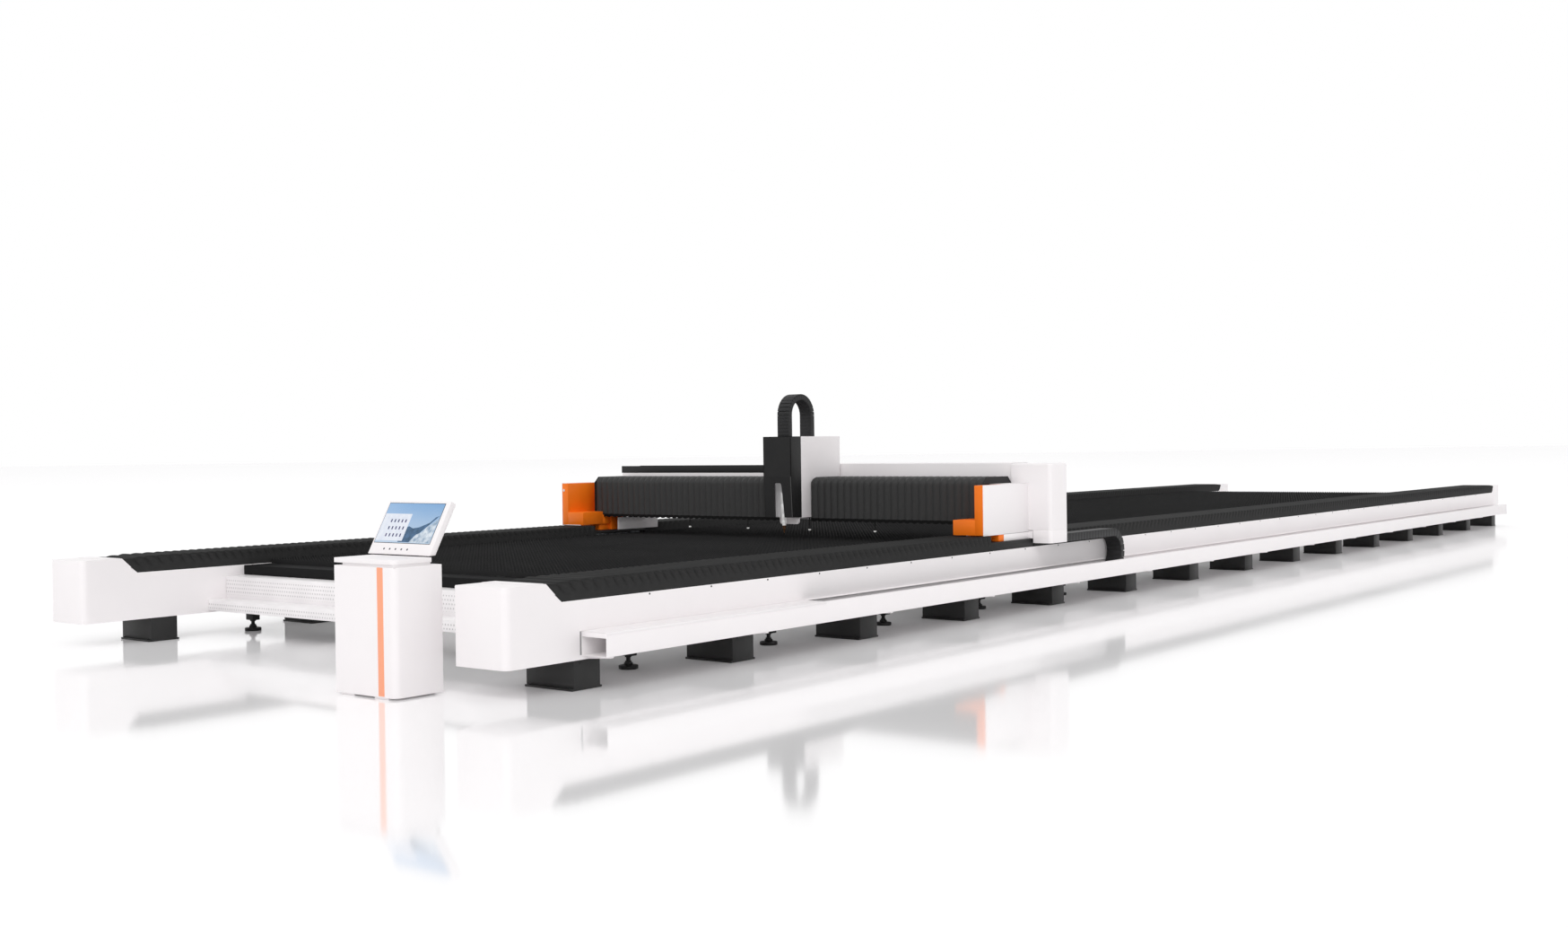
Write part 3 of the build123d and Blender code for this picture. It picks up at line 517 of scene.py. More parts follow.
    def display(self, top: str, bottom: str) -> bpy.types.Material:
        """A lit screen that fades from top to bottom along its height, with faint clouds.

        Args:
            top: Colour at the top.
            bottom: Colour at the bottom.

        Returns:
            The material.
        """
        g = Graph(bpy.data.materials.new("lit_display"))
        place = g.add("TexCoord").outputs["Generated"]
        up = g.add("SeparateXYZ", {"Vector": place}).outputs["Z"]
        cloud = g.add("TexNoise", {"Vector": place, "Scale": 3.0, "Detail": 3.0})
        wave = g.add("Math", {0: cloud, 1: 0.25, 2: -0.12}, operation="MULTIPLY_ADD")
        level = g.add("Math", {0: up, 1: wave}, operation="ADD")
        colour = g.add("Mix", {0: level, 6: linear(bottom), 7: linear(top)}, data_type="RGBA")
        return self._lit(g, colour.outputs[2])


# Shapes: outlines, and surfaces drawn from them.


def rounded(points: Sequence[Pair], radii: float | Sequence[float], steps: int = 5) -> np.ndarray:
    """A closed outline with its corners turned into arcs.

    Each corner of radius r starts r/tan(a/2) before the corner, where a is the angle
    between its edges, and runs round the centre that lies r from both edges.

    Args:
        points: Corners, anticlockwise.
        radii: One radius, or one per corner.
        steps: Segments per corner.

    Returns:
        The outline's points, of shape (n, 2).
    """
    corners = np.asarray(points, float)
    count = len(corners)
    sizes = [radii] * count if isinstance(radii, (int, float)) else list(radii)
    nearly_straight = math.pi / 2 - 0.01
    out: list[np.ndarray] = []
    for i, radius in enumerate(sizes):
        here, before, after = corners[i], corners[i - 1], corners[(i + 1) % count]
        a = (before - here) / np.linalg.norm(before - here)
        b = (after - here) / np.linalg.norm(after - here)
        half = math.acos(float(np.clip(a @ b, -1, 1))) / 2
        if radius <= 0 or half > nearly_straight:
            out.append(here)
            continue
        reach = radius / math.tan(half)
        middle = here + (a + b) / np.linalg.norm(a + b) * radius / math.sin(half)
        start, end = here + a * reach - middle, here + b * reach - middle
        turn = math.atan2(start[0] * end[1] - start[1] * end[0], float(start @ end))
        for k in range(steps + 1):
            c, s = math.cos(turn * k / steps), math.sin(turn * k / steps)
            turned = (c * start[0] - s * start[1], s * start[0] + c * start[1])
            out.append(middle + np.array(turned))
    return np.array(out)


def inset(outline: np.ndarray, depth: float) -> np.ndarray:
    """The outline moved inwards, each point along the mean of its edges' normals.

    The mean (n1 + n2)/(1 + n1.n2) keeps the edges parallel; its divisor is held above 0.3
    at very sharp corners.

    Args:
        outline: Closed outline, of shape (n, 2).
        depth: How far it moves.

    Returns:
        The smaller outline.
    """
    ahead = np.roll(outline, -1, 0) - outline
    ahead /= np.maximum(np.linalg.norm(ahead, axis=1), 1e-12)[:, None]
    normal = np.stack([ahead[:, 1], -ahead[:, 0]], 1)
    following = np.roll(outline, -1, 0)
    area = np.sum(outline[:, 0] * following[:, 1] - following[:, 0] * outline[:, 1])
    normal *= 1 if area > 0 else -1
    before = np.roll(normal, 1, 0)
    mean = normal + before
    mean /= np.maximum(1 + np.sum(normal * before, axis=1), 0.3)[:, None]
    return outline - mean * depth


def densified(path: np.ndarray, upright: float, level: float) -> np.ndarray:
    """A path with points added on its long stretches, at equal steps.

    Args:
        path: Open outline, of shape (n, 2).
        upright: Length of a step where the path runs straight up or down.
        level: Length of a step everywhere else.

    Returns:
        The path with more points.
    """
    out: list[np.ndarray] = []
    for a, b in zip(path[:-1], path[1:]):
        step = upright if abs(b[0] - a[0]) < 0.01 else level
        count = max(1, int(np.linalg.norm(b - a) / step))
        out.extend(a + (b - a) * k / count for k in range(count))
    out.append(path[-1])
    return np.array(out)


def box_outline(x: Pair, z: Pair) -> tuple[Pair, ...]:
    """The four corners of a rectangle, anticlockwise."""
    return ((x[0], z[0]), (x[1], z[0]), (x[1], z[1]), (x[0], z[1]))


@dataclass
class Shape:
    """Surfaces of one piece, gathered as points and faces."""

    points: list[np.ndarray] = field(default_factory=list)
    faces: list[Sequence[int]] = field(default_factory=list)
    count: int = 0

    def take(self, points: np.ndarray) -> int:
        """Adds points.

        Args:
            points: Any array whose last axis is X, Y and Z.

        Returns:
            The number of the first point.
        """
        first = self.count
        flat = np.asarray(points, float).reshape(-1, 3)
        self.points.append(flat)
        self.count += len(flat)
        return first

    def grid(self, points: np.ndarray) -> int:
        """Quads between rings of points, each ring closed on itself.

        Args:
            points: Rings of shape (m, n, 3).

        Returns:
            The number of the first point.
        """
        rows, columns = points.shape[:2]
        first = self.take(points)
        u = np.arange(rows - 1)[:, None] * columns
        v = np.arange(columns)[None, :]
        w = (v + 1) % columns
        quads = np.stack([u + v, u + w, u + columns + w, u + columns + v], -1)
        self.faces.extend((quads.reshape(-1, 4) + first).tolist())
        return first

    def tube(self, rings: np.ndarray) -> Shape:
        """A closed body through rings, with a flat face at both ends.

        Args:
            rings: Rings of shape (m, n, 3).

        Returns:
            The shape itself.
        """
        rows, columns = rings.shape[:2]
        first = self.grid(rings)
        for start in (first, first + (rows - 1) * columns):
            self.faces.append(list(range(start, start + columns)))
        return self

    def bar(
        self, outline: np.ndarray, axis: Axis, span: Pair, edge: float = 0.002, steps: int = 2
    ) -> Shape:
        """An outline drawn out along an axis, its end edges rounded.

        Ring k of an end lies edge(1 - sin a) from it and edge(1 - cos a) inwards.

        Args:
            outline: Closed outline in the axis' two other coordinates.
            axis: Direction of the extrusion.
            span: Its limits.
            edge: Radius of the end edges.
            steps: Segments of that rounding.

        Returns:
            The shape itself.
        """
        angles = [math.pi / 2 * k / steps for k in range(steps, -1, -1)] if edge else [0.0]
        turns = [(edge * (1 - math.sin(a)), edge * (1 - math.cos(a))) for a in angles]
        stops = [(span[0] + off, depth) for off, depth in turns]
        stops += [(span[1] - off, depth) for off, depth in reversed(turns)]
        out, a, b = axis.value
        rings = np.zeros((len(stops), len(outline), 3))
        for ring, (place, depth) in zip(rings, stops):
            ring[:, out] = place
            ring[:, (a, b)] = inset(outline, depth) if depth else outline
        return self.tube(rings)

    def block(self, x: Pair, y: Pair, z: Pair, edge: float = 0.003, steps: int = 2) -> Shape:
        """A block with all edges rounded.

        Args:
            x: Its limits across the machine.
            y: Its limits along the machine.
            z: Its limits in height.
            edge: Radius of the level edges; the upright ones have a fifth more.
            steps: Segments of each edge.

        Returns:
            The shape itself.
        """
        return self.bar(rounded(box_outline(x, y), edge * 1.2, steps), Axis.Z, z, edge, steps)

    def pairs(self, *blocks: Block) -> Shape:
        """The same blocks on both sides of the middle.

        Args:
            blocks: X, Y and Z limits and edge radius of each block of the right side.

        Returns:
            The shape itself.
        """
        for side in SIDES:
            for x, y, z, edge in blocks:
                self.block(on_side(side, *x), y, z, edge)
        return self

    def disc(
        self,
        centre: Sequence[float],
        radius: float,
        axis: Axis,
        span: Pair,
        edge: float = 0.001,
        sides: int = 24,
    ) -> Shape:
        """A round bar: centre + radius (cos t, sin t) drawn out along the axis.

        Args:
            centre: Its middle in the axis' two other coordinates.
            radius: Its radius.
            axis: Its direction.
            span: Its limits.
            edge: Radius of the end edges.
            sides: Points round it; 6 make a nut.

        Returns:
            The shape itself.
        """
        t = np.linspace(0, 2 * math.pi, sides, endpoint=False)
        ring = np.stack([centre[0] + radius * np.cos(t), centre[1] + radius * np.sin(t)], 1)
        return self.bar(ring, axis, span, edge)

    def moved(self, matrix: np.ndarray, shift: Sequence[float]) -> Shape:
        """A copy turned by a 3 x 3 matrix and shifted.

        Args:
            matrix: The turn, with any stretch.
            shift: The shift after it.

        Returns:
            The copy.
        """
        turned = [p @ np.asarray(matrix).T + np.asarray(shift) for p in self.points]
        return Shape(turned, list(self.faces), self.count)

    def join(self, other: Shape) -> Shape:
        """Adds another shape's surfaces.

        Args:
            other: The shape that is added.

        Returns:
            The shape itself.
        """
        first = self.count
        self.points.extend(other.points)
        self.faces.extend([[i + first for i in face] for face in other.faces])
        self.count += other.count
        return self


class Maker:
    """Turns shapes into Blender objects that ride on CAD bodies."""

    def __init__(self, finishes: Finishes) -> None:
        """Keeps the materials that pieces take."""
        self.finishes = finishes

    def piece(
        self,
        name: str,
        shape: Shape,
        finish: Finish | bpy.types.Material,
        body: Body | None,
        replaces: Iterable[str] = (),
        smooth: float = 35.0,
    ) -> bpy.types.Object:
        """Makes one object.

        Args:
            name: Name of the piece.
            shape: Its surfaces in machine coordinates.
            finish: Its surface.
            body: The body it rides on, or None for a piece that is blended later.
            replaces: CAD nodes it stands for.
            smooth: Edges below this angle in degrees are shaded smooth.

        Returns:
            The object, at the origin with its place in its mesh.
        """
        mesh = bpy.data.meshes.new(name)
        mesh.from_pydata(to_frame(np.concatenate(shape.points)).tolist(), [], shape.faces)
        work = bmesh.new()
        work.from_mesh(mesh)
        bmesh.ops.recalc_face_normals(work, faces=work.faces)
        work.to_mesh(mesh)
        work.free()
        mesh.shade_smooth()
        mesh.set_sharp_from_angle(angle=math.radians(smooth))
        made = bpy.data.objects.new(name, mesh)
        bpy.context.scene.collection.objects.link(made)
        material = self.finishes.get(finish) if isinstance(finish, Finish) else finish
        mesh.materials.append(material)
        if body is not None:
            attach(made, body.value)
        if replaces:
            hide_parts(*replaces)
        log.info("made %s", name)
        return made


# Folded skins.


@dataclass(frozen=True)
class Pleats:
    """A folded skin.

    Attributes:
        pitch: Length of one fold.
        depth: How deep a fold goes in.
        samples: Points along one fold.
    """

    pitch: float
    depth: float
    samples: int

    def stations(self, start: float, end: float) -> tuple[np.ndarray, np.ndarray]:
        """Places from start to end and the fold depth at each.

        The depth is d (1 - |sin(pi n)|) over n folds: round ridges with sharp valleys.

        Args:
            start: First place.
            end: Last place.

        Returns:
            The places, and how far the skin is pushed in there.
        """
        folds = max(1, round(abs(end - start) / self.pitch))
        n = np.linspace(0, folds, folds * self.samples + 1)
        return start + (end - start) * n / folds, self.depth * (1 - np.abs(np.sin(math.pi * n)))


def skin_loop(path: np.ndarray, wall: float) -> tuple[np.ndarray, np.ndarray, np.ndarray]:
    """An open outline as a closed loop with an inner side.

    Args:
        path: Outer points, from one foot over the top to the other foot.
        wall: Distance to the inner side.

    Returns:
        Loop points, outward directions, and 1 for outer points or 0 for inner ones.
    """
    ahead = np.gradient(path, axis=0)
    ahead /= np.linalg.norm(ahead, axis=1)[:, None]
    normal = np.stack([-ahead[:, 1], ahead[:, 0]], 1)
    inner = (path - normal * wall)[::-1]
    inner[0, 1], inner[-1, 1] = path[-1, 1], path[0, 1]
    loop = np.concatenate([path, inner])
    outward = np.concatenate([normal, normal[::-1]])
    return loop, outward, np.concatenate([np.ones(len(path)), np.zeros(len(path))])


# Sub-assemblies, each with its sizes.


@dataclass
class Rails:
    """The two bellows-covered rails with their legs, jacks and end covers.

    Attributes:
        outer: Outer face of the right rail.
        low: Underside of the rails.
        bed: Their upper edge, where the bellows start.
        cover_flat: Length of an end cover's level top.
        cover_foot: Where the cover's slope meets the bed.
        corner: Radius of the end's upright corner at +X.
        small: Radius of its upright corner at -X.
        top: Crown of the bellows.
        bellows_corner: Radius of the bellows' upper edges.
        fold_band: Height of the side walls that fold, from the crown down.
        crown_share: How much of the folds' depth shows on the level crown.
        fold_fade: Height over which the folds fade out at that band's lower edge.
        slant: How far the folds run back down the side, over a height of slant_height.
        slant_reach: Length from each end over which the slant grows to its full size.
        lean_reach: Length over which the folds lean like the end cover's slope.
        dip: How much lower the crown is at the cover, over a length of dip_reach.
        base_front: Front edge of the gantry's base plates, where the bellows end.
        base_back: Their rear edge.
    """

    maker: Maker
    outer: float = RAIL_FACE
    width: float = 0.520
    length: float = MACHINE_LENGTH
    low: float = 0.224
    bed: float = 0.660
    cover_top: float = 0.800
    cover_flat: float = 0.3915
    cover_foot: float = 0.541
    corner: float = 0.058
    small: float = 0.006
    top: float = 0.812
    bellows_corner: float = 0.026
    bellows_wall: float = 0.022
    fold_band: float = 0.080
    fold_fade: float = 0.02
    front_folds: Pleats = Pleats(0.090, 0.020, 10)
    rear_folds: Pleats = Pleats(0.100, 0.011, 6)
    crown_share: float = 0.45
    slant: float = 0.055
    slant_height: float = 0.075
    slant_reach: float = 0.6
    lean_reach: float = 0.45
    dip: float = 0.020
    dip_reach: float = 0.22
    base_front: float = 6.600
    base_back: float = 7.460
    leg_first: float = 0.806
    leg_pitch: float = 1.800
    leg_count: int = 15
    leg_depth: float = 0.273
    leg_centre: float = 2.796
    leg_width: float = 0.500
    foot_margin: float = 0.018
    foot_thick: float = 0.016
    jack_first: float = 1.765
    jack_x: float = 2.550
    jack_half: Pair = (0.060, 0.040)
    jack_low: float = 0.106
    flange: Pair = (0.2455, 0.3755)
    screw_first: float = 1.469
    screw_pitch: float = 0.7245

    def x_of(self, side: int) -> Pair:
        """Lowest and highest X of the rail on a side."""
        return on_side(side, self.outer, self.outer - self.width)

    def build(self) -> None:
        """Makes both rails."""
        for side, word in zip(SIDES, ("left", "right")):
            self._bed(side, word)
            self._bellows(side, word)
        self._legs()
        self._jacks()
        self._flanges()
        self._screws()

    def _bed(self, side: int, word: str) -> None:
        """A rail as two halves, each with its end cover in one outline.

        Args:
            side: -1 for the left rail, 1 for the right one.
            word: The side in words.
        """
        middle = self.length / 2
        profile = (
            (0.0, self.low),
            (middle, self.low),
            (middle, self.bed),
            (self.cover_foot, self.bed),
            (self.cover_flat, self.cover_top),
            (0.0, self.cover_top),
        )
        outline = rounded(profile, (0.004, 0, 0, 0.002, 0.006, 0.008), 3)
        for end, half, drawn in (
            ("front", 1, outline),
            ("rear", -1, outline * (-1, 1) + (self.length, 0)),
        ):
            shape = self._half(drawn, self.x_of(side), half)
            nodes = (f"rail_bed_{word}", "end_covers")
            self.maker.piece(f"rail_{word}_{end}", shape, WHITE_COAT, Body.BASE, nodes)

    def _half(self, outline: np.ndarray, x: Pair, end: int) -> Shape:
        """A rail half: the side view drawn along X, with the end face's upright edges rounded.

        At a distance d = R (1 - cos t) from a side, the end face stands back by
        R (1 - sin t), with the small radius at -X and the large one at +X.

        Args:
            outline: Side view as Y and Z.
            x: Limits of the rail.
            end: 1 for the front half, -1 for the rear half.

        Returns:
            The half.
        """
        t = np.linspace(0, math.pi / 2, 13)
        few, all_back = t[::4], t[::-1]
        near, far = self.small * (1 - np.cos(few)), self.corner * (1 - np.cos(all_back))
        places = np.concatenate([x[0] + near, x[1] - far])
        depths = np.concatenate(
            [self.small * (1 - np.sin(few)), self.corner * (1 - np.sin(all_back))]
        )
        face = 0.0 if end > 0 else self.length
        near_face = 0.02
        at_face = np.abs(outline[:, 0] - face) < near_face
        rings = np.zeros((len(places), len(outline), 3))
        rings[:, :, 0] = places[:, None]
        rings[:, :, 1] = outline[:, 0] + end * depths[:, None] * at_face
        rings[:, :, 2] = outline[:, 1]
        return Shape().tube(rings)

    def _section(self, x: Pair) -> tuple[np.ndarray, np.ndarray]:
        """Outer outline of a rail's bellows and how much each point takes part in the folds.

        The share grows from 0 to 1 over the fade at the folding band's lower edge and is
        smaller on the crown.

        Args:
            x: Limits of the rail.

        Returns:
            Points as X and Z, and their shares.
        """
        corners = [(x[0], self.bed), (x[0], self.top), (x[1], self.top), (x[1], self.bed)]
        r = self.bellows_corner
        points = densified(rounded(corners, (0, r, r, 0), 6), 0.02, 0.06)
        share = np.clip((points[:, 1] - (self.top - self.fold_band)) / self.fold_fade, 0, 1)
        share *= np.where(points[:, 1] > self.top - 0.004, self.crown_share, 1.0)
        return points, share

    def _bellows(self, side: int, word: str) -> None:
        """The folded skins before and behind the gantry on one rail.

        Ring by ring the section is pushed in by the fold's depth. Close to the end cover a
        ring leans like the cover's slope and its crown is lower. Between the ends the folds
        run back by the slant down the side.

        Args:
            side: -1 for the left rail, 1 for the right one.
            word: The side in words.
        """
        path, share = self._section(self.x_of(side))
        loop, outward, outer = skin_loop(path, self.bellows_wall)
        weight = np.concatenate([share, np.zeros(len(path))]) * outer
        slope = (self.cover_foot - self.cover_flat) / (self.cover_top - self.bed)
        clear = 0.001
        for name, start, end, sign, pleats in (
            ("front", self.cover_foot, self.base_front, 1, self.front_folds),
            ("rear", self.length - self.cover_foot, self.base_back, -1, self.rear_folds),
        ):
            places, depths = pleats.stations(start, end)
            from_cover = np.abs(places - start)
            from_ends = np.minimum(from_cover, np.abs(places - end))
            inward = depths[:, None] * weight
            x = loop[:, 0] - outward[:, 0] * inward
            z = loop[:, 1] - outward[:, 1] * inward
            lean = slope * (z - self.bed)
            lean *= np.clip(1 - from_cover / self.lean_reach, 0, 1)[:, None]
            fall = np.clip((self.top - z) / self.slant_height, 0, 1) * self.slant
            fall *= np.clip(from_ends / self.slant_reach, 0, 1)[:, None]
            rise = (z - self.bed) / (self.top - self.bed)
            y = places[:, None] + sign * (fall - lean + clear)
            z = z - self.dip * rise * np.clip(1 - from_cover / self.dip_reach, 0, 1)[:, None]
            made = self.maker.piece(
                f"rail_bellows_{word}_{name}",
                Shape().tube(np.stack([x, y, z], -1)),
                RAIL_CLOTH,
                None,
                (f"rail_bellows_{name}",),
                50,
            )
            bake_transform(made)

    def _legs(self) -> None:
        """Box legs under both rails, each on a foot plate held by four bolts."""
        posts, bolts = Shape(), Shape()
        half = self.leg_depth / 2
        margin = self.foot_margin
        outer = self.leg_centre + self.leg_width / 2
        for side in SIDES:
            x = on_side(side, outer - self.leg_width, outer)
            for n in range(self.leg_count):
                y = self.leg_first + n * self.leg_pitch
                post, plate = (self.foot_thick - 0.004, self.low), (0.0, self.foot_thick)
                posts.block(x, (y - half, y + half), post, 0.006)
                posts.block(x, (y - half - margin, y + half + margin), plate, 0.004)
                for dx in (x[0] + 0.05, x[1] - 0.05):
                    for dy in (-half - margin / 2, half + margin / 2):
                        bolts.disc((dx, y + dy), 0.007, Axis.Z, (0.015, 0.026), 0.002, 6)
                head = on_side(side, outer, outer + 0.006)
                bolts.disc((y - half + 0.06, 0.2), 0.008, Axis.X, head, 0.002, 12)
        self.maker.piece("rail_legs_painted", posts, DARK_PAINT, Body.BASE, ("rail_legs",))
        self.maker.piece("leg_bolts", bolts, BLACK_COAT, Body.BASE)

    def _jacks(self) -> None:
        """Levelling jacks between the legs: a block, a stem with two nuts and a round foot."""
        shape = Shape()
        # Radius, Z limits, edge and sides: stem, upper nut, lower nut, foot and its hub.
        turned = (
            (0.018, (0.04, 0.110), 0.001, 16),
            (0.028, (0.092, 0.107), 0.003, 6),
            (0.028, (0.050, 0.064), 0.003, 6),
            (0.079, (0.0, 0.030), 0.005, 28),
            (0.036, (0.026, 0.052), 0.006, 28),
        )
        for side in SIDES:
            for n in range(self.leg_count - 1):
                x, y = side * self.jack_x, self.jack_first + n * self.leg_pitch
                a, b = self.jack_half
                shape.block((x - a, x + a), (y - b, y + b), (self.jack_low, self.low), 0.004)
                for radius, z, edge, sides in turned:
                    shape.disc((x, y), radius, Axis.Z, z, edge, sides)
        self.maker.piece("levelling_feet", shape, BLACK_COAT, Body.BASE, ("levelling_jacks",))

    def _flanges(self) -> None:
        """Thin plates on the end covers that clamp the bellows."""
        shape = Shape()
        front, back = self.flange
        for side in SIDES:
            low, high = self.x_of(side)
            for y in (self.flange, (self.length - back, self.length - front)):
                z = (self.cover_top, self.cover_top + 0.0035)
                shape.block((low + 0.008, high - 0.008), y, z, 0.001)
        self.maker.piece(
            "bellows_clamp_plates", shape, WHITE_COAT, Body.BASE, ("bellows_flanges",)
        )

    def _screws(self) -> None:
        """Screw heads in a row along each rail's outer face."""
        shape = Shape()
        for side in SIDES:
            head = on_side(side, self.outer, self.outer + 0.003)
            y = self.screw_first
            while y < self.length - 1.0:
                shape.disc((y, self.bed - 0.015), 0.0075, Axis.X, head, 0.001, 12)
                y += self.screw_pitch
        self.maker.piece("rail_side_screws", shape, DARK_PAINT, Body.BASE)


@dataclass(frozen=True)
class DragChain:
    """Links laid along a path in the YZ plane.

    Attributes:
        pitch: Length of a link along the path.
        height: Its height across the path.
        width: Its width along X.
        x: The chain's middle.
    """

    pitch: float
    height: float
    width: float
    x: float

    def link(self) -> Shape:
        """One closed link at the origin, its length along Y, its outer side up.

        Returns:
            Two side plates and two lids.
        """
        shape = Shape()
        wall = self.width * 0.06
        half, tall = self.pitch / 2, self.height / 2
        side = rounded(box_outline((-half * 1.04, half * 0.99), (-tall, tall)), tall * 0.06, 3)
        for sign in SIDES:
            span = on_side(sign, self.width / 2, self.width / 2 - wall)
            shape.bar(side, Axis.X, span, self.height * 0.02)
        inner = self.width / 2 - wall * 0.5
        for z in (tall * 0.93, -tall * 0.93):
            lid = (z - tall * 0.065, z + tall * 0.065)
            shape.block((-inner, inner), (-half * 1.02, half * 0.97), lid, self.height * 0.015)
        return shape

    def along(self, path: Callable[[float], tuple[float, float, float]], length: float) -> Shape:
        """Links along a path, stretched a little so that a whole number of them fills it.

        Args:
            path: Distance to (y, z, angle of the tangent).
            length: Length of the path.

        Returns:
            The links.
        """
        count = max(1, round(length / self.pitch))
        stretch = length / count / self.pitch
        out, link = Shape(), self.link()
        for n in range(count):
            y, z, angle = path((n + 0.5) * length / count)
            c, s = math.cos(angle), math.sin(angle)
            turn = np.array([[1, 0, 0], [0, c * stretch, -s], [0, s * stretch, c]])
            out.join(link.moved(turn, (self.x, y, z)))
        return out

    def bend(self, middle: Pair, radius: float, first: float) -> Shape:
        """Links round half a circle: middle + r (cos a, sin a) with a = first - s/r.

        Args:
            middle: Centre of the bend as Y and Z.
            radius: Radius of the links' middle line.
            first: Angle at which the bend starts.

        Returns:
            The links.
        """

        def path(s: float) -> tuple[float, float, float]:
            """The point and tangent at a distance along the bend."""
            a = first - s / radius
            y, z = middle[0] + radius * math.cos(a), middle[1] + radius * math.sin(a)
            return y, z, a - math.pi / 2

        return self.along(path, math.pi * radius)


@dataclass
class SideChain:
    """The trough beside the right rail and the gantry's drag chain in it.

    Attributes:
        inner_high: Top of the trough's lips.
        lid_back: Rear end of the cover sheet over the trough's front part.
        chain_low: Underside of the lower run.
        chain_high: Upper side of the upper run.
        loop: Where the runs join the bend.
        start: Front end of the lower run.
        box_back: Where the upper run comes out of the gantry's rear box.
        gusset_tip: Outer end of the gussets under the trough.
        gusset_low: Their underside at the rail and at the tip.
    """

    maker: Maker
    rail: float = RAIL_FACE
    outer: float = 3.315
    low: float = 0.255
    high: float = 0.393
    inner_high: float = 0.431
    front: float = 0.735
    back: float = 25.915
    lid_back: float = 3.400
    wall: float = 0.004
    outer_lip: float = 0.044
    inner_lip: float = 0.020
    chain_low: float = 0.2593
    chain_high: float = 0.785
    band: float = 0.087
    link_pitch: float = 0.066
    link_width: float = 0.178
    chain_x: float = 3.175
    loop: float = 8.923
    start: float = 1.000
    box_back: float = 7.800
    gusset_first: float = 0.786
    gusset_pitch: float = 1.8
    gusset_count: int = 15
    gusset_width: float = 0.04
    gusset_tip: float = 3.30
    gusset_low: Pair = (0.226, 0.243)

    def build(self) -> None:
        """Makes the trough, its brackets and the three parts of the chain."""
        self._trough()
        self._lid()
        self._gussets()
        self._chain()

    def _trough(self) -> None:
        """An open channel with a lip turned in on each side, drawn along Y."""
        w, top = self.wall, self.inner_high
        lip, inner_lip = self.outer - self.outer_lip, self.rail + self.inner_lip
        section = (
            (self.rail, self.low),
            (self.outer, self.low),
            (self.outer, top),
            (lip, top),
            (lip, top - w),
            (self.outer - w, top - w),
            (self.outer - w, self.low + w),
            (self.rail + w, self.low + w),
            (self.rail + w, top - w),
            (inner_lip, top - w),
            (inner_lip, top),
            (self.rail, top),
        )
        radii = (0, 0.005, 0.003, 0.001, 0.001, 0.001, 0.002, 0.002, 0.001, 0.001, 0.001, 0)
        outline = rounded(section, radii, 3)
        trough = Shape().bar(outline, Axis.Y, (self.front, self.back), 0.0008)
        self.maker.piece("chain_trough_sheet", trough, WHITE_COAT, Body.BASE, ("chain_trough",))

    def _lid(self) -> None:
        """The plate across the trough's front, the cover over its first part and a seam."""
        w, top, fold = self.wall, self.inner_high, 0.002
        run = (self.front, self.lid_back)
        lid = Shape()
        for x, y, z, edge in (
            (
                (self.rail + w, self.outer - w),
                (self.front, self.front + 0.003),
                (self.high, top - 0.001),
                0.001,
            ),
            ((self.rail + w, self.outer + fold), run, (top, top + 0.003), 0.0012),
            ((self.outer, self.outer + fold), run, (top - 0.014, top + 0.002), 0.0008),
        ):
            lid.block(x, y, z, edge)
        self.maker.piece("chain_trough_lid", lid, WHITE_COAT, Body.BASE)
        # A grey strip along the joint: painted shadow of the gap between trough and rail.
        seam = Shape().block(
            (self.rail - 0.0005, self.rail + 0.0015),
            (self.front - 0.016, self.front + 0.001),
            (self.low + 0.004, top),
            0.0,
        )
        self.maker.piece("trough_seam_shadow", seam, SEAM_SHADE, Body.BASE)

    def _gussets(self) -> None:
        """Wedge-shaped brackets that carry the trough, one near each leg."""
        brackets = Shape()
        tip, (root_low, tip_low) = self.gusset_tip, self.gusset_low
        corners = ((self.rail, root_low), (tip, tip_low), (tip, self.low), (self.rail, self.low))
        gusset = rounded(corners, 0.002, 2)
        for n in range(self.gusset_count):
            y = self.gusset_first + n * self.gusset_pitch
            brackets.bar(gusset, Axis.Y, (y, y + self.gusset_width), 0.002)
        self.maker.piece("trough_gussets", brackets, WHITE_COAT, Body.BASE, ("trough_brackets",))

    def _chain(self) -> None:
        """Lower run in the trough, upper run behind the gantry and the bend that joins them."""
        chain = DragChain(self.link_pitch, self.band, self.link_width, self.chain_x)
        low_z = self.chain_low + self.band / 2
        high_z = self.chain_high - self.band / 2
        radius = (high_z - low_z) / 2
        lower = chain.along(lambda s: (self.start + s, low_z, 0.0), self.loop - self.start)
        piece = self.maker.piece(
            "long_chain_lower_run", lower, CHAIN_NYLON, None, ("y_chain_lower",)
        )
        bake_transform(piece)
        upper = chain.along(lambda s: (self.box_back + s, high_z, 0.0), self.loop - self.box_back)
        self.maker.piece(
            "long_chain_upper_run", upper, CHAIN_NYLON, Body.GANTRY, ("y_chain_upper",)
        )
        arc = chain.bend((self.loop, (low_z + high_z) / 2), radius, math.pi / 2)
        self.maker.piece("long_chain_bend", arc, CHAIN_NYLON, Body.Y_LOOP, ("y_chain_bend",))


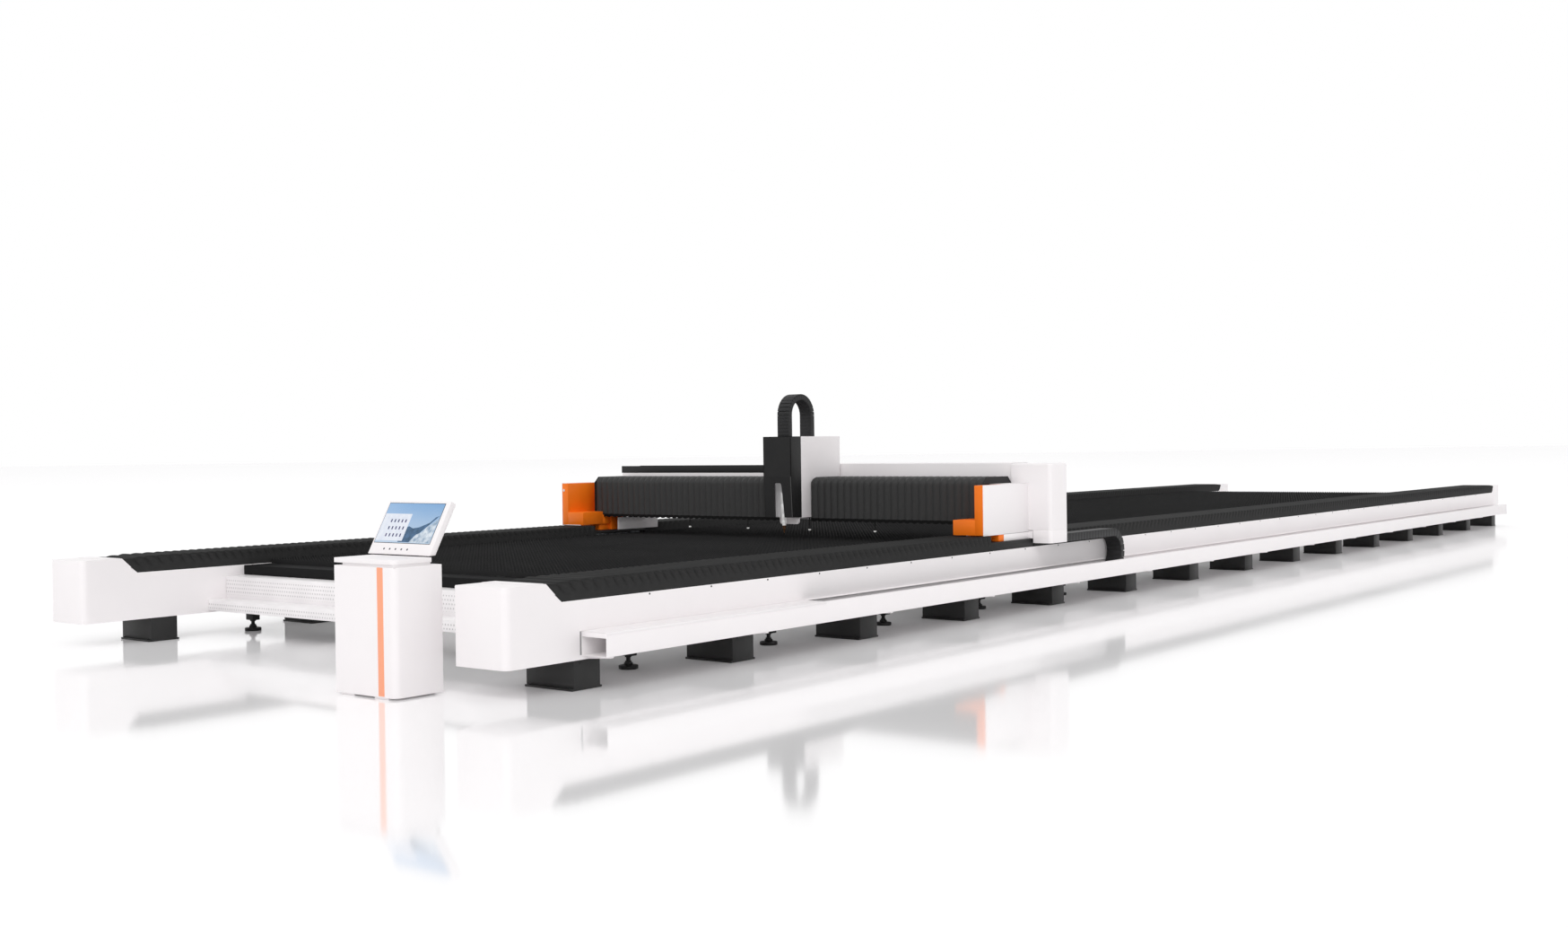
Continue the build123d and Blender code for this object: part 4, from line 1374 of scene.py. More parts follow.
@dataclass
class Table:
    """The slatted work table between the rails with its stepped ends.

    Attributes:
        half: Half its width.
        slab_front: Front of the slab that closes the table's end.
        slab: Its underside and its top.
        step_front: Front of the lower step.
        step_top: Top of the lower step.
        panel_front: Front of the upper step.
        tooth: Pitch of the slats' saw teeth.
        hole_pitch: Distance of punched holes, drawn about three times as coarse as common
            punched sheet, whose holes would be lost at this distance.
        hole_radius: Radius of a hole, coarse likewise.
    """

    maker: Maker
    half: float = 2.543
    length: float = MACHINE_LENGTH
    slab_front: float = 1.667
    slab_back: float = 1.950
    slab: Pair = (0.563, 0.654)
    step_front: float = 1.267
    step_top: float = 0.348
    panel_front: float = 1.464
    low: float = 0.244
    slat_top: float = 0.708
    slat_pitch: float = 0.120
    slat_thick: float = 0.004
    slat_margin: float = 0.03
    tooth: float = 0.045
    tooth_depth: float = 0.018
    hole_pitch: float = 0.036
    hole_radius: float = 0.0090

    def build(self) -> None:
        """Makes the end panels, slabs and slats."""
        sheet = self.maker.finishes.perforated
        holes = (self.hole_pitch, self.hole_radius)
        upper = sheet(*holes, (self.step_top + 0.035, self.slab[0] - 0.035))
        lower = sheet(*holes, (self.low + 0.02, self.step_top - 0.02))
        inside = (0.001 - self.half, self.half - 0.001)
        steps = (
            ("upper", self.panel_front, (self.step_top - 0.02, self.slab[0]), upper),
            ("lower", self.step_front, (self.low, self.step_top), lower),
        )
        for word in ("front", "rear"):
            for name, front, z, material in steps:
                y = self._from_end(word, front, self.slab_front)
                shape = Shape().block(inside, y, z, 0.006)
                self.maker.piece(
                    f"{name}_step_{word}", shape, material, Body.BASE, ("table_end_panels",)
                )
            y = self._from_end(word, self.slab_front, self.slab_back)
            slab = Shape().block((-self.half, self.half), y, self.slab, 0.006)
            self.maker.piece(
                f"table_slab_{word}", slab, SLAB_PAINT, Body.BASE, ("table_end_beams",)
            )
        self._slats()

    def _from_end(self, word: str, near: float, far: float) -> Pair:
        """The Y span between two distances from the machine's front or rear end."""
        return (near, far) if word == "front" else (self.length - far, self.length - near)

    def _slats(self) -> None:
        """Strips across the table with a saw-toothed top edge.

        The top is z = top - depth |2 f - 1| with f the place within a tooth.
        """
        first_y = self.slab_back + self.slat_margin
        count = int((self.length - 2 * first_y) / self.slat_pitch)
        teeth = int(2 * self.half / self.tooth)
        x = np.linspace(-self.half + 0.004, self.half - 0.004, 2 * teeth + 1)
        z = np.where(np.arange(len(x)) % 2 == 1, self.slat_top, self.slat_top - self.tooth_depth)
        strip = np.zeros((len(x), 4, 3))
        strip[:, :, 0] = x[:, None]
        strip[:, :, 1] = (0, self.slat_thick, self.slat_thick, 0)
        strip[:, :2, 2] = self.slab[1]
        strip[:, 2:, 2] = z[:, None]
        third = count // 3
        for word, first, last in (
            ("front", 0, third),
            ("middle", third, 2 * third),
            ("rear", 2 * third, count + 1),
        ):
            shape = Shape()
            for n in range(first, last):
                shape.tube(strip + (0, first_y + n * self.slat_pitch, 0))
            self.maker.piece(f"slats_{word}", shape, SLAT_STEEL, Body.BASE, ("bed_slats",), 20)


@dataclass
class Console:
    """The operator console with its tilting monitor.

    Attributes:
        corner: Radius of the upright corner at the front right.
        rim: Radius of its other upright corners.
        setback: How far the lid ends before the cabinet's back.
        stripe: X limits of the coloured stripe.
        thick: Depth of the monitor's case.
        lean: Angle of the monitor's face from upright.
        front: Y of the face's lower edge, where the slope starts.
        bottom: Z of that edge.
        screen: Left edge, lower edge, width and height of the screen on the slope.
        keys: X of the push keys.
        key_row: Their height on the slope.
    """

    maker: Maker
    x: Pair = (1.625, 2.300)
    y: Pair = (-0.342, 0.094)
    top: float = 0.935
    lid_low: float = 0.955
    lid_top: float = 0.990
    corner: float = 0.055
    rim: float = 0.005
    setback: float = 0.092
    stripe: Pair = (2.116, 2.181)
    monitor: Pair = (1.563, 2.263)
    monitor_height: float = 0.448
    thick: float = 0.053
    lean: float = math.radians(29.0)
    front: float = 0.006
    bottom: float = 0.994
    screen: tuple[float, float, float, float] = (1.585, 0.098, 0.630, 0.325)
    keys: tuple[float, ...] = (1.728, 1.794, 1.860, 1.927, 1.994)
    key_row: float = 0.047

    def build(self) -> None:
        """Makes cabinet, lid, stripe and monitor."""
        self._cabinet()
        self._lid()
        self._monitor()
        self._artwork()
        self._keys()

    def _plan(self, y: Pair) -> np.ndarray:
        """The plan of the cabinet between two Y limits, its front right corner rounded."""
        rim = self.rim
        return rounded(box_outline(self.x, y), (rim, self.corner, rim, rim), 12)

    def _cabinet(self) -> None:
        """The cabinet on two plinths."""
        left, right = self.x
        front, back = self.y
        cabinet = Shape().bar(self._plan(self.y), Axis.Z, (0.012, self.top), 0.003, 3)
        for x in ((left + 0.05, left + 0.20), (right - 0.24, right - 0.09)):
            cabinet.block(x, (front + 0.01, back - 0.01), (0.0, 0.014), 0.001)
        self.maker.piece("console_body", cabinet, WHITE_COAT, Body.BASE, ("console_cabinet",))

    def _lid(self) -> None:
        """The lid on a set-back neck and two hinge pads, and the stripe down the front."""
        left, right = self.x
        front, back = self.y
        cover = self._plan((front, back - self.setback))
        lid = Shape().bar(cover, Axis.Z, (self.lid_low, self.lid_top), 0.004, 4)
        self.maker.piece("console_top", lid, WHITE_COAT, Body.BASE, ("console_lid",))
        neck = Shape().block(
            (left + 0.085, right - 0.006),
            (front + 0.012, back - 0.10),
            (self.top - 0.002, self.lid_low + 0.002),
            0.001,
        )
        self.maker.piece("console_neck", neck, GREY_COAT, Body.BASE)
        pads = Shape()
        for x in ((left + 0.14, left + 0.26), (right - 0.26, right - 0.14)):
            gap = (self.top - 0.001, self.lid_low + 0.001)
            pads.block(x, (back - 0.104, back - 0.012), gap, 0.002)
        self.maker.piece("console_hinge_pads", pads, BLACK_COAT, Body.BASE)
        stripe = Shape().block(
            self.stripe, (front - 0.002, front + 0.004), (0.021, self.top - 0.001), 0.001
        )
        self.maker.piece("console_band", stripe, SALMON_COAT, Body.BASE, ("console_stripe",))

    def _leaning(self, shape: Shape) -> Shape:
        """A shape drawn with X across, Y depth behind the glass and Z along the slope.

        Args:
            shape: The shape as if the monitor stood upright at the origin.

        Returns:
            The shape turned back by the lean and set on the slope's foot.
        """
        c, s = math.cos(self.lean), math.sin(self.lean)
        turn = np.array([[1, 0, 0], [0, c, s], [0, -s, c]])
        return shape.moved(turn, (0, self.front, self.bottom))

    def _monitor(self) -> None:
        """The case, whose underside is level, and the screen in a thin dark rim."""
        left, low, width, height = self.screen
        drop = self.thick * math.tan(self.lean)
        side = (
            (0.0, 0.001),
            (self.thick, 0.005 + drop),
            (self.thick, self.monitor_height),
            (0.0, self.monitor_height),
        )
        outline = rounded(side, (0.004, 0.004, 0.012, 0.006), 4)
        case = Shape().bar(outline, Axis.X, self.monitor, 0.005, 3)
        self.maker.piece(
            "monitor_shell", self._leaning(case), WHITE_COAT, Body.MONITOR, ("monitor_case",)
        )
        rim = 0.004
        bezel = Shape().block(
            (left - rim, left + width + rim),
            (-0.0012, 0.006),
            (low - rim, low + height + rim),
            0.001,
        )
        self.maker.piece("monitor_bezel", self._leaning(bezel), BLACK_COAT, Body.MONITOR)
        glass = Shape().block((left, left + width), (-0.0016, 0.006), (low, low + height), 0.0004)
        display = self.maker.finishes.display("#86b0dc", "#c3d6ea")
        self.maker.piece(
            "monitor_glass", self._leaning(glass), display, Body.MONITOR, ("monitor_screen",)
        )

    def _keys(self) -> None:
        """Round push keys in a row under the screen, each on its own body."""
        for n, x in enumerate(self.keys, 1):
            cap = Shape().disc((x, self.key_row), 0.0085, Axis.Y, (-0.0008, 0.006), 0.0012, 24)
            piece = self.maker.piece(
                f"key_cap_{n}", self._leaning(cap), KEY_PLASTIC, None, (f"push_key_{n}",)
            )
            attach(piece, f"push_key_{n}")

    def _artwork(self) -> None:
        """A plain control picture: a window with tiles before a ridge line.

        Outlines are in parts of the screen's width and height. Each plate lies a little
        above the one before it.
        """
        left, low, width, height = self.screen

        def plate(points: Sequence[Pair], level: float) -> Shape:
            """A thin plate on the glass."""
            placed = np.array(points) * (width, height) + (left, low)
            return Shape().bar(placed, Axis.Y, (-level, 0.001), 0.0)

        ridge = (
            (0.42, 0.02), (0.62, 0.02), (0.99, 0.70), (0.93, 0.66), (0.86, 0.52),
            (0.78, 0.46), (0.70, 0.40), (0.60, 0.37), (0.52, 0.42), (0.42, 0.36),
        )
        snow = (
            (0.62, 0.02), (0.985, 0.02), (0.99, 0.62), (0.90, 0.48), (0.84, 0.42),
            (0.78, 0.27), (0.70, 0.22),
        )
        window = ((0.005, 0.05), (0.49, 0.05), (0.49, 0.73), (0.005, 0.73))
        tiles = Shape()
        for row in range(3):
            for column in range(5):
                a = left + width * (0.15 + 0.065 * column)
                b = low + height * (0.15 + 0.18 * row)
                tile = np.array(box_outline((a, a + 0.014), (b, b + 0.026)))
                tiles.bar(tile, Axis.Y, (-0.0026, 0.0), 0.0)
        for name, shape, light, dark in (
            ("picture_ridge", plate(ridge, 0.0019), "#4c7096", "#34546f"),
            ("picture_snow", plate(snow, 0.0021), "#e6eef6", "#7b99b5"),
            ("picture_window", plate(window, 0.0023), "#eff3fb", "#e3e9f6"),
            ("picture_tiles", tiles, "#54447a", "#2d3f64"),
        ):
            look = self.maker.finishes.picture(name, light, dark)
            self.maker.piece(name, self._leaning(shape), look, Body.MONITOR)


@dataclass
class Gantry:
    """The moving portal: bellows, end brackets, covers and lights.

    Attributes:
        front: Front of the end brackets.
        outer: Their outer face.
        strip: Inner face of the bracket's upright plate.
        arm: Inner end of the bracket's arm.
        z: Underside and top of the upright plate.
        beam: Front and back of the beam, with beam[0] as the face the brackets meet.
        folds_y: Front and back of the beam's bellows.
        folds_z: Their lower edge and their crown.
        folds_x: Their outer ends.
        plate_y: Front and back edges of the base plates on the rails.
        plate_x: Their inner and outer edges.
        bracket_back: Back of the bracket's inner part.
        sheet: Thickness of the end covers' sheets, which end at sheet_back.
        sheet_inner: Inner X limit of the sheets on the bracket's top and back.
        tail: X limits of the small flap over the rear box's front.
        plate_back: Back of the low sheet along the base plates' inner edge.
        rear: Front and back of the rear covers.
        box_x: Limits of the rear box at the right end.
        box_z: Its underside and top.
        hang_z: Underside and top of its part beside the rail, from hang_x outwards.
    """

    maker: Maker
    front: float = 6.490
    outer: float = 3.017
    strip: float = 2.917
    arm: float = 2.660
    z: Pair = (0.820, 1.330)
    arm_top: float = 0.976
    beam: Pair = (6.970, 7.400)
    folds_y: Pair = (6.850, 7.430)
    folds_z: Pair = (0.945, 1.405)
    folds_x: float = 2.800
    folds_corner: float = 0.085
    folds_wall: float = 0.018
    folds: Pleats = Pleats(0.090, 0.020, 12)
    fold_shadow_depth: float = 0.028
    plate_y: Pair = (6.600, 7.460)
    plate_x: Pair = (2.525, 3.050)
    bracket_back: float = 7.181
    sheet: float = 0.003
    sheet_back: float = 7.420
    sheet_inner: float = 2.812
    tail: Pair = (3.010, 3.068)
    plate_back: float = 7.700
    plate_top: float = 0.897
    rear: Pair = (7.450, 7.800)
    rear_low: float = 0.900
    rear_top: float = 1.550
    tray_low: float = 1.4435
    tray_top: float = 1.530
    box_x: Pair = (2.815, 3.288)
    box_z: Pair = (0.825, 1.540)
    box_corner: float = 0.045
    hang_x: float = 3.070
    hang_z: Pair = (0.698, 0.835)
    lamp_count: int = 4
    lamp_pitch: float = 0.9

    def build(self) -> None:
        """Makes every visible piece of the gantry."""
        self._bellows()
        self._brackets()
        self._bases()
        self._end_covers()
        self._rear_covers()
        self._rear_box()
        self._lights()

    def _bellows(self) -> None:
        """The folded hoods over the beam on both sides of the carriage, with painted fold shadow.
        """
        (front, back), (low, crown) = self.folds_y, self.folds_z
        corners = ((front, low), (front, crown), (back, crown), (back, low))
        r = self.folds_corner
        path = densified(rounded(corners, (0, r, r, 0), 10), 0.06, 0.06)
        loop, outward, outer = skin_loop(path, self.folds_wall)
        for word, start, end in (
            ("left", -self.folds_x, CARRIAGE_X[0]),
            ("right", self.folds_x, CARRIAGE_X[1]),
        ):
            places, depths = self.folds.stations(start, end)
            inward = (depths[:, None] * outer)[:, :, None]
            rings = np.zeros((len(places), len(loop), 3))
            rings[:, :, 0] = places[:, None]
            rings[:, :, 1:] = loop - outward * inward
            shape = Shape().tube(rings)
            name, node = f"beam_bellows_{word}", f"x_bellows_{word}"
            piece = self.maker.piece(name, shape, BELLOWS_CLOTH, None, (node,), 50)
            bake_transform(piece)
            # Near-black band and tabs under the folds: painted shadow of the open folds.
            shadow_name = f"beam_bellows_fold_shadow_{word}"
            shadow_band = self.maker.piece(shadow_name, self._fold_shadow(start, end), HEM_SHADOW, None)
            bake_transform(shadow_band)

    def _fold_shadow(self, start: float, end: float) -> Shape:
        """Painted shadow under the folds: a band with half-round tabs under it,
        x = middle + r cos t, z = bottom - 0.35 r sin t.

        Args:
            start: Outer end of the bellows.
            end: Their end at the carriage.

        Returns:
            The band and a tab under each fold.
        """
        face, low = self.folds_y[0], self.folds_z[0]
        depth = (face + 0.004, face + 0.012)
        span = (min(start, end) + 0.004, max(start, end) - 0.004)
        shape = Shape().block(span, depth, (low - self.fold_shadow_depth, low + 0.002), 0.0)
        count = max(1, round(abs(end - start) / self.folds.pitch))
        radius = 0.34 * abs(end - start) / count
        bottom = low - self.fold_shadow_depth + 0.001
        t = np.linspace(math.pi, 0, 9)
        for n in range(count):
            middle = start + (end - start) * (n + 0.5) / count
            tab = np.stack([middle + radius * np.cos(t), bottom - 0.35 * radius * np.sin(t)], 1)
            shape.bar(tab, Axis.Y, depth, 0.0)
        return shape

    def _brackets(self) -> None:
        """Cast brackets that carry the beam's ends, and a cap over a screw in the left one."""
        face, low = self.beam[0], self.z[0]
        shape = Shape().pairs(
            ((self.strip, self.outer), (self.front, face), self.z, 0.004),
            (
                (self.arm, self.strip + 0.006),
                (self.front, self.folds_y[0] - 0.010),
                (low, self.arm_top),
                0.004,
            ),
            ((self.arm, self.strip), (self.folds_y[0] - 0.014, face), (low, 0.935), 0.004),
            ((self.arm + 0.02, self.outer), (6.8, face), (PLATE_TOP, low + 0.004), 0.004),
            (
                (self.arm - 0.021, self.outer - 0.0165),
                (face - 0.001, self.bracket_back),
                (PLATE_TOP + 0.0005, self.z[1] - 0.0295),
                0.003,
            ),
        )
        self.maker.piece(
            "end_bracket_castings", shape, ORANGE_COAT, Body.GANTRY, ("gantry_end_brackets",)
        )
        middle = (0.03 - self.outer, self.z[1] - 0.085)
        depth = (self.front - 0.004, self.front + 0.002)
        cap = Shape().disc(middle, 0.016, Axis.Y, depth, 0.002, 20)
        self.maker.piece("bracket_screw_cap", cap, GREY_COAT, Body.GANTRY)

    def _bases(self) -> None:
        """Plates on the rails, with skirts down both sides and a lip in front."""
        inner, outer = self.plate_x
        skirt = 0.006
        lip = (self.plate_y[0] - 0.002, self.plate_y[0] + 0.004)
        shape = Shape().pairs(
            (self.plate_x, self.plate_y, (0.718, PLATE_TOP), 0.004),
            ((outer, outer + skirt), self.plate_y, (0.664, PLATE_TOP), 0.002),
            ((inner - skirt, inner), self.plate_y, (0.713, PLATE_TOP), 0.002),
            ((inner - skirt, outer + skirt), lip, (0.712, PLATE_TOP), 0.002),
        )
        self.maker.piece("base_plates", shape, BLACK_COAT, Body.GANTRY, ("gantry_bases",))

    def _end_covers(self) -> None:
        """White sheets over the brackets' outer faces, tops and backs."""
        face, back = self.beam[0], self.sheet_back
        low, top, sheet, over = self.z[0] - 0.005, self.z[1], self.sheet, self.sheet_inner
        outer, inner = self.outer, self.plate_x[0]
        white = Shape().pairs(
            ((outer, outer + sheet), (self.front, back), (low, top + sheet), 0.0014),
            ((outer, outer + sheet), (6.900, back), (PLATE_TOP, self.z[0]), 0.0014),
            ((over, outer), (face, back), (top, top + sheet), 0.0014),
            ((over, outer), (back - sheet, back), (low, top), 0.0014),
            (self.tail, (back - 0.0005, back + 0.0025), (0.748, 0.826), 0.0),
            ((inner, inner + 0.015), (face, self.plate_back), (PLATE_TOP, self.plate_top), 0.003),
        )
        self.maker.piece("end_cover_sheets", white, WHITE_COAT, Body.GANTRY, ("side_covers",))

    def _rear_covers(self) -> None:
        """Long covers behind the beam, the ribs that hold them and the open cable tray."""
        y, low = self.rear, self.rear_low
        left = Shape().block((-2.900, CARRIAGE_X[0]), y, (low, self.tray_low - 0.0005), 0.006)
        self.maker.piece("rear_cover_left", left, GREY_COAT, Body.GANTRY, ("rear_cover",))
        right = Shape().block((CARRIAGE_X[0], self.box_x[0]), y, (low, self.rear_top), 0.012, 4)
        self.maker.piece("rear_cover_right", right, WHITE_COAT, Body.GANTRY)
        ribs = Shape()
        for x in np.linspace(-2.4, 2.4, 4):
            ribs.block((x - 0.05, x + 0.05), (self.beam[1], y[0] + 0.002), (0.902, 0.940), 0.003)
        self.maker.piece("rear_cover_ribs", ribs, DARK_PAINT, Body.GANTRY)
        x, z, sheet = (-2.910, CARRIAGE_X[0]), (self.tray_low, self.tray_top), 0.004
        tray = Shape().block(x, (y[0], y[0] + sheet), z, 0.0015)
        tray.block(x, (y[1] - sheet, y[1]), z, 0.0015)
        tray.block(x, y, (self.tray_low, self.tray_low + sheet), 0.0015)
        self.maker.piece("tray_sheet", tray, BLACK_COAT, Body.GANTRY, ("cable_tray",))

    def _rear_box(self) -> None:
        """The box at the beam's right end, with the part that hangs beside the rail."""
        y = (self.sheet_back, self.rear[1])
        radii = (0.004, self.box_corner, self.box_corner, 0.004)
        box = Shape()
        for x, z, edge, steps in (
            (self.box_x, self.box_z, 0.020, 5),
            ((self.hang_x, self.box_x[1]), self.hang_z, 0.004, 2),
        ):
            box.bar(rounded(box_outline(x, y), radii, 8), Axis.Z, z, edge, steps)
        self.maker.piece("rear_box_shell", box, WHITE_COAT, Body.GANTRY, ("rear_box",))

    def _lights(self) -> None:
        """Small lamps on stalks in a row under the beam."""
        stalks, lamps = Shape(), Shape()
        for n in range(self.lamp_count):
            x = (n - (self.lamp_count - 1) / 2) * self.lamp_pitch
            place = (x, self.beam[0] + 0.015)
            stalks.disc(place, 0.005, Axis.Z, (0.812, 0.940), 0.0, 12)
            lamps.disc(place, 0.015, Axis.Z, (0.798, 0.813), 0.005, 20)
        self.maker.piece("light_stalks", stalks, BLACK_COAT, Body.GANTRY, ("beam_lights",))
        self.maker.piece("light_caps", lamps, LAMP_LENS, Body.GANTRY)


@dataclass
class Carriage:
    """The carriage over the beam with head cover, height axis and its chain.

    Attributes:
        head_front: Front of the head cover above its bend.
        box_front: Front of the box, behind the head cover.
        leg_back: Back of the box's part that hangs before the beam.
        step: Underside of the box over the beam.
        bend_z: Height at which the head cover's front starts to lean back.
        recess: How far it has leaned back at its lower edge.
        slot: Left and right edge of the open slot in the head cover's front.
        slot_foot: Its right edge at the bottom.
        notch: Limits of the opening in the head cover's top, from notch_front back.
        slide_y: Front and back of the height axis' plate.
        slide_x: Its limits across.
        slide_z: Its lower edge and top.
        backing_x: Limits of the light sheet on the plate, in place of the slot's lit inside.
        backing_z: That sheet's lower edge and top.
        chain_y: Middle of the chain's bend.
        chain_r: Outer radius of the bend.
        chain_z: Height at which the runs join the bend.
    """

    maker: Maker
    x: Pair = CARRIAGE_X
    head_front: float = 6.500
    box_front: float = 6.690
    leg_back: float = 6.885
    back: float = 7.431
    low: float = 0.955
    step: float = 1.335
    top: float = 1.863
    bend_z: float = 1.420
    recess: float = 0.025
    wall: float = 0.006
    head_low: float = 0.963
    slot: Pair = (0.320, 0.424)
    slot_top: float = 1.345
    slot_corner: float = 0.024
    slot_foot: float = 0.451
    notch: Pair = (0.284, 0.456)
    notch_front: float = 6.612
    slide_y: Pair = (6.650, 6.670)
    slide_x: Pair = (0.285, 0.555)
    slide_z: Pair = (0.885, 1.520)
    backing_x: Pair = (0.235, 0.470)
    backing_z: Pair = (0.966, 1.400)
    head_middle: Pair = (0.385, 6.600)
    chain_y: float = 6.861
    chain_r: float = 0.240
    chain_band: float = 0.065
    link_pitch: float = 0.040
    link_width: float = 0.158
    chain_x: float = 0.370
    chain_start: float = 1.520
    chain_z: float = 2.100

    def build(self) -> None:
        """Makes box, head cover, height axis and chain."""
        self._box()
        self._cover()
        self._height_plate()
        self._head()
        self._chain()

    def _box(self) -> None:
        """The box as its side view drawn along X, with two guide strips on its front."""
        side = (
            (self.box_front, self.low),
            (self.leg_back, self.low),
            (self.leg_back, self.step),
            (self.back, self.step),
            (self.back, self.top),
            (self.box_front, self.top),
        )
        shape = Shape().bar(rounded(side, 0.006, 3), Axis.X, self.x, 0.004, 3)
        strip = (self.slide_y[1] + 0.0003, self.box_front + 0.002)
        for x in (0.280, 0.490):
            shape.block((x - 0.01, x + 0.01), strip, (0.990, 1.640), 0.001)
        self.maker.piece("carriage_shell", shape, WHITE_COAT, Body.CARRIAGE, ("carriage_box",))

    def _bent(self, ring: np.ndarray, depth: float) -> np.ndarray:
        """An outline on the head cover's bent front: y = front + recess (bend - z)/(bend - low).

        Args:
            ring: Outline as X and Z.
            depth: Distance behind the front.

        Returns:
            Its points in X, Y and Z; above the bend y is the front itself.
        """
        z = ring[:, 1]
        back = np.clip((self.bend_z - z) / (self.bend_z - self.head_low), 0, 1) * self.recess
        return np.stack([ring[:, 0], self.head_front + depth + back, z], 1)

    def _cover(self) -> None:
        """The head cover as walls: a front sheet with the slot cut out, sides and top."""
        (left, right), low, bend, top = self.x, self.head_low, self.bend_z, self.top
        (slot_left, slot_right), q = self.slot, self.slot_corner
        turn = np.linspace(0, math.pi / 2, 7)
        x, z = q - q * np.sin(turn), self.slot_top - q + q * np.cos(turn)
        left_arch = np.stack([slot_left + x, z], 1)[::-1]
        right_arch = np.stack([slot_right - x, z], 1)
        below = np.array(
            [
                (left, low),
                (slot_left, low),
                *left_arch,
                *right_arch,
                (self.slot_foot, low),
                (right, low),
                (right, bend),
                (left, bend),
            ]
        )
        above = np.array(box_outline(self.x, (bend, top)))
        shape = Shape()
        for sheet in (below, above):
            shape.tube(np.stack([self._bent(sheet, 0.0), self._bent(sheet, self.wall)]))
        side = (
            (self.head_front + self.recess, low),
            (self.box_front, low),
            (self.box_front, top),
            (self.head_front, top),
            (self.head_front, bend),
        )
        outline = rounded(side, (0.002, 0.001, 0.001, 0.003, 0.002), 2)
        for near in (left, right - self.wall):
            shape.bar(outline, Axis.X, (near, near + self.wall), 0.001)
        lid = (
            (left, self.head_front),
            (right, self.head_front),
            (right, self.box_front),
            (self.notch[1], self.box_front),
            (self.notch[1], self.notch_front),
            (self.notch[0], self.notch_front),
            (self.notch[0], self.box_front),
            (left, self.box_front),
        )
        shape.bar(np.array(lid), Axis.Z, (top - self.wall, top), 0.001)
        self.maker.piece("head_shroud", shape, BLACK_COAT, Body.CARRIAGE, ("head_cover",))
        # A thin grey strip on the right front edge: painted highlight where the fold catches
        # light.
        edge = np.array(box_outline((right - 0.011, right - 0.001), (low, bend)))
        highlight_strip = Shape().tube(np.stack([self._bent(edge, -0.0006), self._bent(edge, 0.001)]))
        self.maker.piece("head_shroud_edge_highlight", highlight_strip, EDGE_HIGHLIGHT, Body.CARRIAGE)

    def _height_plate(self) -> None:
        """The plate of the height axis with two small blocks, and the light sheet on its face."""
        face, back = self.slide_y
        outline = box_outline(self.slide_x, self.slide_z)
        plate = rounded(outline, (0.030, 0.035, 0.004, 0.004), 8)
        slide = Shape().bar(plate, Axis.Y, (face, back), 0.002)
        slide.block((0.294, 0.446), (6.621, face + 0.002), (1.500, 1.520), 0.002)
        slide.block((0.195, 0.270), (6.590, face + 0.002), (1.390, 1.440), 0.003)
        self.maker.piece("height_plate", slide, GREY_COAT, Body.HEIGHT, ("z_slide_plate",))
        # The light sheet stands in for the lit inside seen through the slot; its glow is painted
        # light.
        backing = Shape().block(self.backing_x, (face - 0.009, face + 0.0005), self.backing_z, 0.001)
        self.maker.piece("head_lit_backing", backing, LIT_SHEET, Body.HEIGHT)

    def _head(self) -> None:
        """The barrel as a stack of turned rings on an arm, and the copper tip under it."""
        head = Shape()
        # Radius, Z limits and edge of each ring, from the top down.
        for radius, z, edge in (
            (0.0375, (1.120, 1.240), 0.004),
            (0.031, (1.108, 1.122), 0.001),
            (0.0375, (1.005, 1.110), 0.003),
            (0.033, (0.995, 1.008), 0.001),
            (0.0300, (0.930, 0.998), 0.003),
            (0.0260, (0.918, 0.932), 0.001),
            (0.0300, (0.900, 0.920), 0.003),
            (0.0220, (0.870, 0.902), 0.002),
        ):
            head.disc(self.head_middle, radius, Axis.Z, z, edge, 40)
        head.block((0.350, 0.420), (6.600, 6.650), (1.030, 1.220), 0.004)
        # The barrel's finish glows a little: painted light on the head.
        self.maker.piece("head_barrel", head, BRUSHED_GLOWING, Body.HEIGHT, ("cutting_head",))
        # Radius and height along the tip, down to the opening.
        profile = np.array(
            [
                (0.0195, 0.870),
                (0.0195, 0.845),
                (0.017, 0.840),
                (0.0140, 0.838),
                (0.0085, 0.805),
                (0.005, 0.792),
                (0.0035, 0.790),
            ]
        )
        t = np.linspace(0, 2 * math.pi, 32, endpoint=False)
        rings = np.zeros((len(profile), len(t), 3))
        rings[:, :, 0] = self.head_middle[0] + profile[:, :1] * np.cos(t)
        rings[:, :, 1] = self.head_middle[1] + profile[:, :1] * np.sin(t)
        rings[:, :, 2] = profile[:, 1:]
        self.maker.piece("nozzle_tip", Shape().tube(rings), COPPER, Body.HEIGHT, ("nozzle",))

    def _chain(self) -> None:
        """The loop of chain over the carriage, from the height axis up and down to the box."""
        chain = DragChain(self.link_pitch, self.chain_band, self.link_width, self.chain_x)
        radius = self.chain_r - self.chain_band / 2
        front_y, rear_y = self.chain_y - radius, self.chain_y + radius
        start, end = self.chain_start, self.chain_z
        rise = chain.along(lambda s: (front_y, start + s, math.pi / 2), end - start)
        self.maker.piece("height_chain_front", rise, CHAIN_NYLON, Body.HEIGHT, ("z_chain_front",))
        fall = chain.along(lambda s: (rear_y, self.top + s, math.pi / 2), end - self.top)
        back = self.maker.piece("height_chain_rear", fall, CHAIN_NYLON, None, ("z_chain_rear",))
        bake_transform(back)
        arc = chain.bend((self.chain_y, self.chain_z), radius, math.pi)
        self.maker.piece("height_chain_bend", arc, CHAIN_NYLON, Body.Z_LOOP, ("z_chain_bend",))


